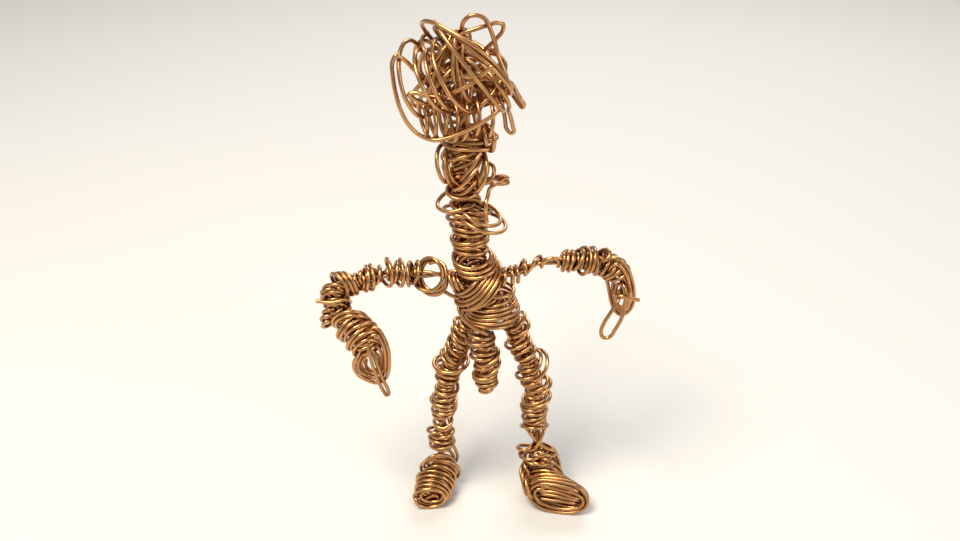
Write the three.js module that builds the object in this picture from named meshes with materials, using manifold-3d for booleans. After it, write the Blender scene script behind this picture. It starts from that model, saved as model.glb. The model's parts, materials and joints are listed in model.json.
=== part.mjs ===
// A standing figure bent and wound from bare copper wire.
// Each limb is a doubled core wire, folded back at the hand, the foot or the head, with a second
// wire wound round it. The core is cut at every place where the figure bends, so that each bend is
// a joint. Millimetres, +Z up, origin on the floor under the middle of the figure. The figure faces
// -Y; its own right side is at -X and its left side at +X.
import * as THREE from "three";
import { mergeVertices } from "three/addons/utils/BufferGeometryUtils.js";
import Module from "manifold-3d";

// Wire and clearances
const WIRE_D = 1.0; // bare copper, 18 gauge
const SEAT_GAP = 0.35; // from a wrap to the core that carries it
const BEND_GAP = 0.3; // between the two cut ends of a core wire at a bend
const SOLE_CUT = WIRE_D / 10; // depth of the flats on the turns that the figure stands on

// The sharpest angle that each bend comes to, in degrees, from one core to the next
const NECK_BEND = 28;
const HEAD_BEND = 25;
const SHOULDER_BEND = 50;
const ELBOW_BEND = 118;
const HIP_BEND = 50;
const KNEE_BEND = 65;
const ANKLE_BEND = 32;
const STUB_BEND = 30;

// Half of the distance between the two wires of each core
const LEG_CORE_HALF = 1.0;
const ARM_CORE_HALF = 1.3;
const SPINE_CORE_HALF = 2.3;
const STUB_CORE_HALF = 0.9;
const JAW_CORE_HALF = 3.0;

// Legs, from the floor up
const ANKLE_HEIGHT = 15;
const SHIN_LENGTH = 27.3;
const THIGH_LENGTH = 17.5;
const HIP_HALF = 5.2; // from the middle of the pelvis to a hip bend
const THIGH_SPLAY = 22;
const SHIN_SPLAY = 4;
const THIGH_LEAN = 1; // backwards, going down
const SHIN_LEAN = 0;
const SHIN_SWELL = 0.3; // how far the fuller turns stand out

// Feet: a barrel of turns lying along the foot
const RIGHT_FOOT = { turnOut: 24, halfWidth: 5.0, halfHeight: 4.7, length: 14, outset: 0.6, turns: 4 };
const LEFT_FOOT = { turnOut: 34, halfWidth: 6.8, halfHeight: 5.0, length: 15.6, outset: 2.6, turns: 4 };
const FOOT_CORE_BEND = 2.4; // radius at which the foot core turns forward
const FOOT_CORE_TURN = 1.25; // turns from the heel to where the foot core comes down

// Trunk
const PELVIS_X = 2.5;
const HIP_Y = 2;
const CORE_CROSSING = 0.3; // between core wires that cross in the trunk
const SPINE_FOOT = 3; // from the hip bends up to the lower end of the spine
const SPINE_LENGTH = 23.5;
const SPINE_LEAN = 10;
const SHOULDER_DROP = 10; // from the neck bend down to the shoulder wires
const SHOULDER_RIGHT = 12; // from the spine to the middle of the right shoulder ring
const SHOULDER_LEFT = 9.4; // from the spine to the left shoulder bend
const HIP_ARCH_RISE = 8.5;
const HIP_ARCH_STRAIGHT = 1.2; // length over which an arch carries on along the thigh
const WAIST_TILT = 13;
const WAIST_HALF = 5.4;
const HIP_WRAP_RISE = 1.4; // from the hip bends up to the hip wrap
const HIP_TURNS = 3;
const HIP_HALF_DEPTH = 6.0;

// Neck and head
const NECK_LENGTH = 12;
const NECK_LEAN = 4;
const COLLAR_START = 0.6; // share of the neck wrap at which the collar begins
const COLLAR_SWELL = 4.2; // how far the collar turns stand out from the neck
const JAW_LENGTH = 14;
const JAW_FLARE = 3.0; // length over which the neck's core widens to the jaw's
const HEAD_WIDTH = 30; // of the tangle's outer layer, on the wire's middle
const HEAD_DEPTH = 24;
const HEAD_HEIGHT = 28;
const HEAD_LAYER = 2.2; // from one layer of the tangle to the next
const BAND_START = 50; // from a layer's axis to its first loop, degrees

// The tangle's layers from the outside in; each begins near where the one before it ends.
const HEAD_BANDS = [
  { axis: [-0.64, -0.32, -0.61], loops: 4, phase: 0.6 },
  { axis: [0.79, -0.25, 0.35], loops: 3.5, phase: 0.81 },
  { axis: [-0.25, 0.31, 0.49], loops: 3, phase: 0.88 },
];

// Arms
const RIGHT_UPPER_ARM = { length: 26.3, swing: 77.7, lean: 0 };
const RIGHT_FOREARM = { length: 29, swing: -27.3, lean: -15.5 };
const RING_HALF = 3.7;
const RING_TURNS = 3;
const LEFT_UPPER_ARM = { length: 26.4, swing: -99.6, lean: 0 };
const LEFT_FOREARM = { length: 12, swing: -10, lean: -6 };
const HAND_SWELL = 1.0;
const FINGER = { length: 11.5, swing: 24, half: 0.85 };

// Stub that hangs in front of the pelvis
const STUB_SHIFT = 0.6; // to the right of the pelvis's middle
const STUB_DROP = 1.5; // from the hip wrap down to the stub's bend
const STUB_LENGTH = 18.5;
const STUB_SWELL = 0.4;

// Least clear distance between neighbouring turns, and the pitch that follows
const TURN_GAP = 0.7;
const LIMB_TURN_GAP = 1.3;
const TURN_PITCH = WIRE_D + TURN_GAP;
const LIMB_PITCH = WIRE_D + LIMB_TURN_GAP;

// Facets
const CORE_SIDES = 6;
const WRAP_SIDES = 5;
const TURN_STEPS = 8;
const TURN_PHASE = 0.5 / TURN_STEPS; // a flat of the winding faces straight down and sideways
const LOOP_STEPS = 18;
const HEAD_STEP = 4.2; // length of one step along the tangle
const STEM_SHARES = [0.85, 0.35, -0.15]; // heights of the tangle's stem at the jaw fold, in steps
const FOLD_STEPS = 6;
const BEND_SHARES = [0, 0.5, 1]; // places along a quarter bend
const NEIGHBOUR_REACH = 5 * WIRE_D; // stretches closer than this along a wire are neighbours
const ROUND_END = [0.85, 0.5]; // heights of the rings on a round end, as shares of its radius

const COPPER = { color: 0xb87445, roughness: 0.32, metalness: 1.0 };
const TARNISHED = { color: 0x9a5f3a, roughness: 0.42, metalness: 1.0 };

const { degToRad } = THREE.MathUtils;
const turnOf = (share) => 2 * Math.PI * share;
const point = (x, y, z) => new THREE.Vector3(x, y, z);

// Distance from a section's middle to its corners, for as much copper as the round wire has.
const corner = (sides) => (WIRE_D / 2) * Math.sqrt(turnOf(1 / sides) / Math.sin(turnOf(1 / sides)));
const CORE_REACH = corner(CORE_SIDES);
const WRAP_REACH = corner(WRAP_SIDES);

// Where a core wire stops short of the bend that it leads to.
const BEND_STOP = CORE_REACH + BEND_GAP;

// Least middle radius of a wrap on two core wires, so that no chord of it comes closer than the gap.
const seatRadius = (half) => (half + CORE_REACH + SEAT_GAP + WRAP_REACH) / Math.cos(Math.PI / TURN_STEPS);

// Room along the limb that a wrap leaves at a bend, so that the turns on both sides clear each other.
const bendRoom = (radius, degrees) => (radius + WRAP_REACH) * Math.tan(degToRad(degrees) / 2) + SEAT_GAP;

function meshOf(name, geometry, finish, parent) {
  geometry.computeVertexNormals();
  const mesh = new THREE.Mesh(geometry, new THREE.MeshStandardMaterial(finish));
  mesh.name = name;
  parent.add(mesh);
  return mesh;
}

// A bend: a group at a place in its parent, turned to angles that are stated in the figure's frame.
// The limb hangs from it along its own -Z.
function bend(name, parent, at, { lean = 0, swing = 0, turn = 0 }) {
  const group = new THREE.Group();
  group.name = name;
  group.position.copy(at);
  group.rotation.set(degToRad(lean), degToRad(swing), degToRad(turn), "YXZ");
  group.quaternion.premultiply(parent.getWorldQuaternion(new THREE.Quaternion()).invert());
  parent.add(group);
  return group;
}

// A wire of the given number of sides along points, closed by flat ends. One side of the section
// faces the outward vector of each point where these are given, and widths scale the section.
function wireGeometry(points, sides, { outward = null, widths = null } = {}) {
  const reach = corner(sides);
  const last = points.length - 1;
  const position = [];
  const index = [];
  let normal = null;
  points.forEach((p, i) => {
    const tangent = points[Math.min(i + 1, last)].clone().sub(points[Math.max(i - 1, 0)]).normalize();
    if (outward) normal = outward[i].clone();
    else if (!normal) normal = Math.abs(tangent.y) < 0.9 ? point(0, 1, 0) : point(1, 0, 0);
    normal = normal.addScaledVector(tangent, -normal.dot(tangent)).normalize();
    const across = tangent.clone().cross(normal);
    const size = reach * (widths ? widths[i] : 1);
    for (let k = 0; k < sides; k++) {
      const angle = turnOf((k + 0.5) / sides);
      const q = p.clone().addScaledVector(normal, size * Math.cos(angle));
      position.push(...q.addScaledVector(across, size * Math.sin(angle)));
    }
  });
  for (let i = 0; i < last; i++) {
    for (let k = 0; k < sides; k++) {
      const a = i * sides + k;
      const b = i * sides + ((k + 1) % sides);
      index.push(a, b, b + sides, a, b + sides, a + sides);
    }
  }
  const end = last * sides;
  for (let k = 1; k < sides - 1; k++) index.push(0, k + 1, k, end, end + k, end + k + 1);
  const geometry = new THREE.BufferGeometry();
  geometry.setAttribute("position", new THREE.Float32BufferAttribute(position, 3));
  geometry.setIndex(index);
  return geometry;
}

// Least clear distance between stretches of one wire that are not neighbours along it.
function leastGap(points) {
  const along = [0];
  for (let i = 1; i < points.length; i++) along.push(along[i - 1] + points[i].distanceTo(points[i - 1]));
  const nearest = point(0, 0, 0);
  let least = Infinity;
  for (let j = 1; j < points.length; j++) {
    const piece = new THREE.Line3(points[j - 1], points[j]);
    points.forEach((p, i) => {
      if (Math.abs(along[i] - along[j]) < NEIGHBOUR_REACH) return;
      if (Math.abs(along[i] - along[j - 1]) < NEIGHBOUR_REACH) return;
      piece.closestPointToPoint(p, true, nearest);
      least = Math.min(least, p.distanceTo(nearest));
    });
  }
  return least - 2 * WRAP_REACH;
}

function reportGap(name, points) {
  console.log(`${name}: least gap to itself ${leastGap(points).toFixed(2)} mm`);
}

// A straight core wire down its limb, with a round end where it starts at a bend.
function coreWire(name, parent, { from, to, x, y, round }) {
  const ends = round ? ROUND_END : [];
  const points = ends.map((share) => point(x, y, CORE_REACH * share));
  const widths = ends.map((share) => Math.sqrt(1 - share * share));
  points.push(point(x, y, -from), point(x, y, -to));
  widths.push(1, 1);
  return meshOf(name, wireGeometry(points, CORE_SIDES, { widths }), TARNISHED, parent);
}

// The two wires of a core, side by side along x or y.
function corePair(names, parent, { from = 0, to, half, across, round = false }) {
  names.forEach((name, i) => {
    const offset = (i ? 1 : -1) * half;
    const [x, y] = across === "x" ? [offset, 0] : [0, offset];
    coreWire(name, parent, { from, to, x, y, round });
  });
}

// A doubled core wire: from a round end at the bend along the route, round the fold and back again.
// Each stop of the route has the core's middle, its half width and the way in which it is spread.
function foldedCore(name, parent, route) {
  const last = route.length - 1;
  const spread = ({ turn }) => point(Math.cos(degToRad(turn)), Math.sin(degToRad(turn)), 0);
  const beside = (stop, sign) => stop.at.clone().addScaledVector(spread(stop), sign * stop.half);
  const out = route.map((stop) => beside(stop, -1));
  const back = route.map((stop) => beside(stop, 1)).reverse();
  const heading = route[last].at.clone().sub(route[last - 1].at).normalize();
  const fold = [];
  for (let i = 1; i < FOLD_STEPS; i++) {
    const angle = Math.PI * (i / FOLD_STEPS);
    const p = route[last].at.clone().addScaledVector(heading, route[last].half * Math.sin(angle));
    fold.push(p.addScaledVector(spread(route[last]), -route[last].half * Math.cos(angle)));
  }
  const raise = (p, share) => p.clone().add(point(0, 0, CORE_REACH * share));
  const start = ROUND_END.map((share) => raise(out[0], share));
  const finish = ROUND_END.map((share) => raise(back[last], share)).reverse();
  const points = [...start, ...out, ...fold, ...back, ...finish];
  const widths = points.map(() => 1);
  ROUND_END.forEach((share, i) => {
    widths[i] = Math.sqrt(1 - share * share);
    widths[points.length - 1 - i] = widths[i];
  });
  return meshOf(name, wireGeometry(points, CORE_SIDES, { widths }), TARNISHED, parent);
}

// As many whole turns as fit between two depths without coming closer than the pitch.
const turnsIn = (from, to, pitch) => Math.max(1, Math.floor((to - from - 2 * WRAP_REACH) / pitch));

// Turns round the local Z axis from one depth to another: a helix whose radius follows a formula and
// whose turns all rise by the same angle towards +X.
function windTurns({ from, to, pitch, turns = turnsIn(from, to, pitch), radius, depth = 1, tilt = 0 }) {
  const steps = turns * TURN_STEPS;
  const run = to - from - 2 * WRAP_REACH;
  const slope = Math.tan(degToRad(tilt));
  const points = [];
  const outward = [];
  for (let i = 0; i <= steps; i++) {
    const share = i / steps;
    const angle = turnOf(TURN_PHASE + turns * share);
    const x = radius(share) * Math.cos(angle);
    const y = radius(share) * Math.sin(angle) * depth;
    points.push(point(x, y, slope * x - from - WRAP_REACH - run * share));
    outward.push(point(x, y / (depth * depth), slope * x));
  }
  return { points, outward };
}

function wrap(name, parent, winding) {
  const { points, outward } = windTurns(winding);
  reportGap(name, points);
  return meshOf(name, wireGeometry(points, WRAP_SIDES, { outward }), COPPER, parent);
}

const { Manifold, Mesh: Solid } = await loadManifold();

async function loadManifold() {
  const module = await Module();
  module.setup();
  return module;
}

// A geometry as a solid that can be cut.
function solidOf(geometry) {
  const bare = geometry.clone();
  bare.deleteAttribute("normal");
  bare.deleteAttribute("uv");
  const welded = mergeVertices(bare);
  return new Manifold(new Solid({
    numProp: 3,
    vertProperties: new Float32Array(welded.attributes.position.array),
    triVerts: new Uint32Array(welded.index.array),
  }));
}

// What stays of a geometry above a height, as one closed body with flat undersides. The block that
// cuts it is twice as large as the geometry and lies below the height.
function cutFlat(geometry, height) {
  geometry.computeBoundingBox();
  const size = geometry.boundingBox.getSize(point(0, 0, 0));
  const middle = geometry.boundingBox.getCenter(point(0, 0, 0));
  const block = new THREE.BoxGeometry(2 * size.x, 2 * size.y, 2 * size.z);
  block.translate(middle.x, middle.y, height - size.z);
  const above = solidOf(geometry).subtract(solidOf(block)).getMesh();
  const cut = new THREE.BufferGeometry();
  cut.setAttribute("position", new THREE.Float32BufferAttribute(above.vertProperties, 3));
  cut.setIndex(Array.from(above.triVerts));
  return cut;
}

// Legs
const legRadius = seatRadius(LEG_CORE_HALF);
const legDrop = THIGH_LENGTH * Math.cos(degToRad(THIGH_SPLAY)) * Math.cos(degToRad(THIGH_LEAN))
  + SHIN_LENGTH * Math.cos(degToRad(SHIN_SPLAY)) * Math.cos(degToRad(SHIN_LEAN));
const HIP_HEIGHT = ANKLE_HEIGHT + legDrop;

// The foot's barrel starts so far behind the ankle that the core comes down midway between two turns.
function buildFoot(word, side, foot, shin) {
  const ankle = bend(`${word}_ankle`, shin, point(0, 0, -SHIN_LENGTH), { turn: -side * foot.turnOut });
  const pitch = (foot.length - 2 * WRAP_REACH) / foot.turns;
  const heel = WRAP_REACH + pitch * (FOOT_CORE_TURN - TURN_PHASE);
  const barrel = windTurns({
    from: -heel,
    to: foot.length - heel,
    turns: foot.turns,
    radius: () => foot.halfWidth,
    depth: foot.halfHeight / foot.halfWidth,
  });
  reportGap(`${word}_foot_wrap`, barrel.points);
  const geometry = wireGeometry(barrel.points, WRAP_SIDES, { outward: barrel.outward });
  geometry.rotateX(-Math.PI / 2);
  geometry.computeBoundingBox();
  const outset = -side * foot.outset;
  geometry.translate(outset, 0, -ANKLE_HEIGHT - SOLE_CUT - geometry.boundingBox.min.z);
  meshOf(`${word}_foot_wrap`, cutFlat(geometry, -ANKLE_HEIGHT), COPPER, ankle);

  const floor = -ANKLE_HEIGHT + 2 * WRAP_REACH + SEAT_GAP + CORE_REACH;
  const toe = foot.length - heel - 2 * LEG_CORE_HALF;
  const stop = (y, z) => ({ at: point(outset * (z / floor), y, z), half: LEG_CORE_HALF, turn: 0 });
  const route = [stop(0, 0)];
  for (const share of BEND_SHARES) {
    const angle = (Math.PI / 2) * share;
    route.push(stop(FOOT_CORE_BEND * (Math.cos(angle) - 1), floor + FOOT_CORE_BEND * (1 - Math.sin(angle))));
  }
  route.push(stop(-toe, floor));
  foldedCore(`${word}_foot_core`, ankle, route);
}

function buildLeg(figure, word, side, foot) {
  const hipAt = point(PELVIS_X - side * HIP_HALF, HIP_Y, HIP_HEIGHT);
  const hip = bend(`${word}_hip`, figure, hipAt, { lean: THIGH_LEAN, swing: side * THIGH_SPLAY });
  const thighCore = [`${word}_thigh_core_a`, `${word}_thigh_core_b`];
  const leg = { half: LEG_CORE_HALF, across: "x", round: true };
  corePair(thighCore, hip, { to: THIGH_LENGTH - BEND_STOP, ...leg });
  wrap(`${word}_thigh_wrap`, hip, {
    from: bendRoom(legRadius, HIP_BEND),
    to: THIGH_LENGTH - bendRoom(legRadius, KNEE_BEND),
    pitch: LIMB_PITCH,
    radius: () => legRadius,
  });

  const kneeAt = point(0, 0, -THIGH_LENGTH);
  const knee = bend(`${word}_knee`, hip, kneeAt, { lean: SHIN_LEAN, swing: side * SHIN_SPLAY });
  const shinCore = [`${word}_shin_core_a`, `${word}_shin_core_b`];
  corePair(shinCore, knee, { to: SHIN_LENGTH - BEND_STOP, ...leg });
  wrap(`${word}_shin_wrap`, knee, {
    from: bendRoom(legRadius, KNEE_BEND),
    to: SHIN_LENGTH - bendRoom(legRadius, ANKLE_BEND),
    pitch: LIMB_PITCH,
    radius: (share) => legRadius + SHIN_SWELL * Math.sin(turnOf(share)) ** 2,
  });
  buildFoot(word, side, foot, knee);
}

// Trunk
const spineY = HIP_Y - 2 * CORE_REACH - CORE_CROSSING;
const spineRadius = seatRadius(SPINE_CORE_HALF);
const armRadius = seatRadius(ARM_CORE_HALF);

function spineTop() {
  const lean = degToRad(SPINE_LEAN);
  const rise = HIP_HEIGHT + SPINE_FOOT + SPINE_LENGTH * Math.cos(lean);
  return point(PELVIS_X - SPINE_LENGTH * Math.sin(lean), spineY, rise);
}

// The two arched wires that run from one thigh core to the other, one inside the other.
function hipArch(name, figure, hips, strand, rise) {
  const ends = hips.map(({ hip, sign }) => [BEND_STOP, BEND_STOP + HIP_ARCH_STRAIGHT].map(
    (lift) => figure.worldToLocal(hip.localToWorld(point(sign * strand * LEG_CORE_HALF, 0, lift)))));
  const top = point(PELVIS_X, HIP_Y, HIP_HEIGHT + rise);
  const curve = new THREE.CatmullRomCurve3([...ends[0], top, ...ends[1].reverse()], false, "chordal");
  meshOf(name, wireGeometry(curve.getPoints(2 * TURN_STEPS), CORE_SIDES), TARNISHED, figure);
}

function buildTrunk(figure, spine, shoulderAt) {
  const spineCore = { from: BEND_STOP, to: SPINE_LENGTH, half: SPINE_CORE_HALF, across: "x" };
  corePair(["spine_core_right", "spine_core_left"], spine, spineCore);
  const tilt = Math.tan(degToRad(SPINE_LEAN)) * (spineRadius + WRAP_REACH);
  wrap("chest_wrap", spine, {
    from: bendRoom(spineRadius, NECK_BEND),
    to: SHOULDER_DROP - CORE_REACH - SEAT_GAP - tilt,
    pitch: TURN_PITCH,
    radius: () => spineRadius,
  });

  const rightEnd = -SHOULDER_RIGHT + RING_HALF + WRAP_REACH + SEAT_GAP;
  const leftEnd = SHOULDER_LEFT - BEND_STOP;
  const bar = bend("shoulders", figure, point(shoulderAt.x + rightEnd, spineY, shoulderAt.z), { swing: -90 });
  const bars = ["shoulder_bar_front", "shoulder_bar_back"];
  corePair(bars, bar, { to: leftEnd - rightEnd, half: ARM_CORE_HALF, across: "y" });

  const hipTop = HIP_HEIGHT + HIP_WRAP_RISE + HIP_TURNS * TURN_PITCH + 2 * WRAP_REACH;
  const hipHalf = HIP_HALF + LEG_CORE_HALF + CORE_REACH + SEAT_GAP + WRAP_REACH;
  const pelvis = bend("pelvis", figure, point(PELVIS_X, (HIP_Y + spineY) / 2, hipTop), {});
  wrap("hip_wrap", pelvis, {
    from: 0,
    to: HIP_TURNS * TURN_PITCH + 2 * WRAP_REACH,
    turns: HIP_TURNS,
    radius: () => hipHalf,
    depth: HIP_HALF_DEPTH / hipHalf,
  });

  const rise = Math.tan(degToRad(WAIST_TILT)) * (WAIST_HALF + WRAP_REACH);
  const waistTop = shoulderAt.z - CORE_REACH - SEAT_GAP - rise;
  const middle = (waistTop + hipTop) / 2;
  const waistX = PELVIS_X - (middle - HIP_HEIGHT - SPINE_FOOT) * Math.tan(degToRad(SPINE_LEAN));
  const waist = bend("waist", figure, point(waistX, spineY, waistTop), {});
  wrap("waist_wrap", waist, {
    from: 0,
    to: waistTop - hipTop - SEAT_GAP - rise,
    pitch: TURN_PITCH,
    radius: () => WAIST_HALF,
    tilt: WAIST_TILT,
  });
}

// The stub's core runs up behind the front of the hip wrap and is cut where the stub bends.
function buildStub(figure) {
  const front = (HIP_Y + spineY) / 2 - HIP_HALF_DEPTH * Math.cos(Math.PI / TURN_STEPS);
  const y = front + WRAP_REACH + SEAT_GAP + CORE_REACH;
  const height = HIP_HEIGHT + HIP_WRAP_RISE - STUB_DROP;
  const stub = bend("stub", figure, point(PELVIS_X - STUB_SHIFT, y, height), {});
  const top = STUB_DROP + HIP_TURNS * TURN_PITCH + WRAP_REACH;
  const root = { from: -top, to: -BEND_STOP, half: STUB_CORE_HALF, across: "x" };
  corePair(["stub_root_right", "stub_root_left"], stub, root);
  const stop = (z) => ({ at: point(0, 0, -z), half: STUB_CORE_HALF, turn: 0 });
  foldedCore("stub_core", stub, [stop(0), stop(STUB_LENGTH - STUB_CORE_HALF - CORE_REACH)]);
  const radius = seatRadius(STUB_CORE_HALF);
  wrap("stub_wrap", stub, {
    from: bendRoom(radius, STUB_BEND) + WRAP_REACH,
    to: STUB_LENGTH - STUB_CORE_HALF,
    pitch: LIMB_PITCH,
    radius: (share) => radius + STUB_SWELL * Math.sin(Math.PI * share),
  });
}

// Neck and head. Both groups are turned over, so that the limb's -Z points up.
function buildNeck(spine) {
  const neck = bend("neck", spine, point(0, 0, 0), { lean: 180, swing: -NECK_LEAN });
  const core = { to: NECK_LENGTH - BEND_STOP, half: SPINE_CORE_HALF, across: "x", round: true };
  corePair(["neck_core_right", "neck_core_left"], neck, core);
  wrap("neck_wrap", neck, {
    from: bendRoom(spineRadius, NECK_BEND),
    to: NECK_LENGTH - bendRoom(spineRadius + COLLAR_SWELL, HEAD_BEND),
    pitch: TURN_PITCH,
    radius: (share) => spineRadius + COLLAR_SWELL * Math.max(0, (share - COLLAR_START) / (1 - COLLAR_START)),
  });
  return neck;
}

// One layer of the tangle: loops round an axis, from near its start to near its other end.
function tangleBand({ axis, loops, phase }, layer) {
  const turn = new THREE.Quaternion().setFromUnitVectors(point(0, 0, 1), point(...axis).normalize());
  const steps = Math.round(loops * LOOP_STEPS);
  const shrink = HEAD_LAYER * layer;
  const halves = point(HEAD_WIDTH / 2 - shrink, HEAD_DEPTH / 2 - shrink, HEAD_HEIGHT / 2 - shrink);
  const points = [];
  for (let i = 0; i <= steps; i++) {
    const share = i / steps;
    const tilt = degToRad(BAND_START + (180 - 2 * BAND_START) * share);
    const angle = turnOf(phase + loops * share);
    const p = point(Math.sin(tilt) * Math.cos(angle), Math.sin(tilt) * Math.sin(angle), Math.cos(tilt));
    points.push(p.applyQuaternion(turn).multiply(halves));
  }
  return points;
}

function buildHead(neck) {
  const head = bend("head", neck, point(0, 0, -NECK_LENGTH), { lean: 180, swing: -NECK_LEAN });
  const stop = (z, half) => ({ at: point(0, 0, -z), half, turn: 0 });
  foldedCore("head_core", head, [
    stop(0, SPINE_CORE_HALF),
    stop(JAW_FLARE, JAW_CORE_HALF),
    stop(JAW_LENGTH - JAW_CORE_HALF - CORE_REACH, JAW_CORE_HALF),
  ]);
  const radius = seatRadius(JAW_CORE_HALF);
  wrap("jaw_wrap", head, {
    from: bendRoom(radius, HEAD_BEND),
    to: JAW_LENGTH - JAW_CORE_HALF / 2,
    pitch: TURN_PITCH,
    radius: () => radius,
  });

  const beside = CORE_REACH + SEAT_GAP + WRAP_REACH;
  const middle = point(0, 0, -JAW_LENGTH - SEAT_GAP - WRAP_REACH - HEAD_HEIGHT / 2);
  const stem = point(0, beside, -JAW_LENGTH);
  const points = STEM_SHARES.map((share) => stem.clone().add(point(0, 0, HEAD_STEP * share)));
  HEAD_BANDS.forEach((band, layer) => {
    points.push(...tangleBand(band, layer).map((p) => p.multiply(point(1, 1, -1)).add(middle)));
  });
  const curve = new THREE.CatmullRomCurve3(points, false, "centripetal");
  const path = curve.getSpacedPoints(Math.round(curve.getLength() / HEAD_STEP));
  reportGap("head_tangle", path);
  meshOf("head_tangle", wireGeometry(path, WRAP_SIDES), COPPER, head);
}

// Arms
function buildRightArm(figure, at) {
  const shoulder = bend("right_shoulder", figure, at, RIGHT_UPPER_ARM);
  const ring = windTurns({
    from: -RING_TURNS * TURN_PITCH / 2 - WRAP_REACH,
    to: RING_TURNS * TURN_PITCH / 2 + WRAP_REACH,
    turns: RING_TURNS,
    radius: () => RING_HALF,
  });
  reportGap("right_shoulder_ring", ring.points);
  const geometry = wireGeometry(ring.points, WRAP_SIDES, { outward: ring.outward });
  geometry.rotateX(-Math.PI / 2);
  meshOf("right_shoulder_ring", geometry, COPPER, shoulder);

  const start = RING_HALF + WRAP_REACH + SEAT_GAP;
  const { length } = RIGHT_UPPER_ARM;
  const core = ["right_upper_arm_core_front", "right_upper_arm_core_back"];
  corePair(core, shoulder, { from: start, to: length - BEND_STOP, half: ARM_CORE_HALF, across: "y" });
  wrap("right_upper_arm_wrap", shoulder, {
    from: start + SEAT_GAP,
    to: length - bendRoom(armRadius, ELBOW_BEND),
    pitch: LIMB_PITCH,
    radius: () => armRadius,
  });

  const elbow = bend("right_elbow", shoulder, point(0, 0, -length), RIGHT_FOREARM);
  const stop = (z) => ({ at: point(0, 0, -z), half: ARM_CORE_HALF, turn: 90 });
  foldedCore("right_forearm_core", elbow, [stop(0), stop(RIGHT_FOREARM.length - ARM_CORE_HALF - CORE_REACH)]);
  wrap("right_forearm_wrap", elbow, {
    from: bendRoom(armRadius, ELBOW_BEND),
    to: RIGHT_FOREARM.length - ARM_CORE_HALF,
    pitch: LIMB_PITCH,
    radius: (share) => armRadius + HAND_SWELL * Math.sin(Math.PI * share ** 2),
  });
}

function buildLeftArm(figure, at) {
  const shoulder = bend("left_shoulder", figure, at, LEFT_UPPER_ARM);
  const { length } = LEFT_UPPER_ARM;
  const core = ["left_upper_arm_core_front", "left_upper_arm_core_back"];
  corePair(core, shoulder, { to: length - BEND_STOP, half: ARM_CORE_HALF, across: "y", round: true });
  wrap("left_upper_arm_wrap", shoulder, {
    from: bendRoom(armRadius, SHOULDER_BEND),
    to: length - bendRoom(armRadius, ELBOW_BEND),
    pitch: LIMB_PITCH,
    radius: () => armRadius,
  });

  const elbow = bend("left_elbow", shoulder, point(0, 0, -length), LEFT_FOREARM);
  const wrist = LEFT_FOREARM.length;
  const swing = degToRad(FINGER.swing);
  const along = (d) => point(-d * Math.sin(swing), 0, -wrist - d * Math.cos(swing));
  foldedCore("left_forearm_core", elbow, [
    { at: point(0, 0, 0), half: ARM_CORE_HALF, turn: 90 },
    { at: point(0, 0, -wrist / 2), half: ARM_CORE_HALF, turn: 70 },
    { at: point(0, 0, -wrist), half: ARM_CORE_HALF, turn: 30 },
    { at: along(FINGER.length / 3), half: FINGER.half, turn: 10 },
    { at: along(FINGER.length - FINGER.half), half: FINGER.half, turn: 10 },
  ]);
  wrap("left_forearm_wrap", elbow, {
    from: bendRoom(armRadius, ELBOW_BEND),
    to: wrist + WRAP_REACH,
    pitch: TURN_PITCH,
    radius: () => armRadius,
  });
}

// The whole figure, then its place over the origin
const figure = new THREE.Group();
figure.name = "wire_figure";
buildLeg(figure, "right", 1, RIGHT_FOOT);
buildLeg(figure, "left", -1, LEFT_FOOT);
const hips = [
  { hip: figure.getObjectByName("right_hip"), sign: 1 },
  { hip: figure.getObjectByName("left_hip"), sign: -1 },
];
hipArch("hip_arch_outer", figure, hips, -1, HIP_ARCH_RISE);
hipArch("hip_arch_inner", figure, hips, 1, HIP_ARCH_RISE - 2 * LEG_CORE_HALF - CORE_CROSSING);

const spine = bend("spine", figure, spineTop(), { swing: -SPINE_LEAN });
const shoulderAt = spine.localToWorld(point(0, 0, -SHOULDER_DROP));
buildTrunk(figure, spine, shoulderAt);
buildStub(figure);
buildHead(buildNeck(spine));
buildRightArm(figure, point(shoulderAt.x - SHOULDER_RIGHT, spineY, shoulderAt.z));
buildLeftArm(figure, point(shoulderAt.x + SHOULDER_LEFT, spineY, shoulderAt.z));

figure.updateMatrixWorld(true);
const box = new THREE.Box3().setFromObject(figure, true);
const centre = box.getCenter(point(0, 0, 0));
figure.position.set(-centre.x, -centre.y, 0);
figure.updateMatrixWorld(true);

export default figure;
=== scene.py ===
"""Studio scene of a small standing figure that is bent and wound from copper wire.

Every wire is a round profile carried along a path. A path follows a course of loops and points.
Each of these is placed by the pixel at which it shows in a 960 x 541 view and by its depth, so
that the turns keep their uneven, hand-wound look. All wires are settled together before they are
meshed, so that they rest on each other and on the floor.
"""

import json
import logging
import math
from dataclasses import dataclass, field
from enum import Enum
from itertools import groupby

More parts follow.
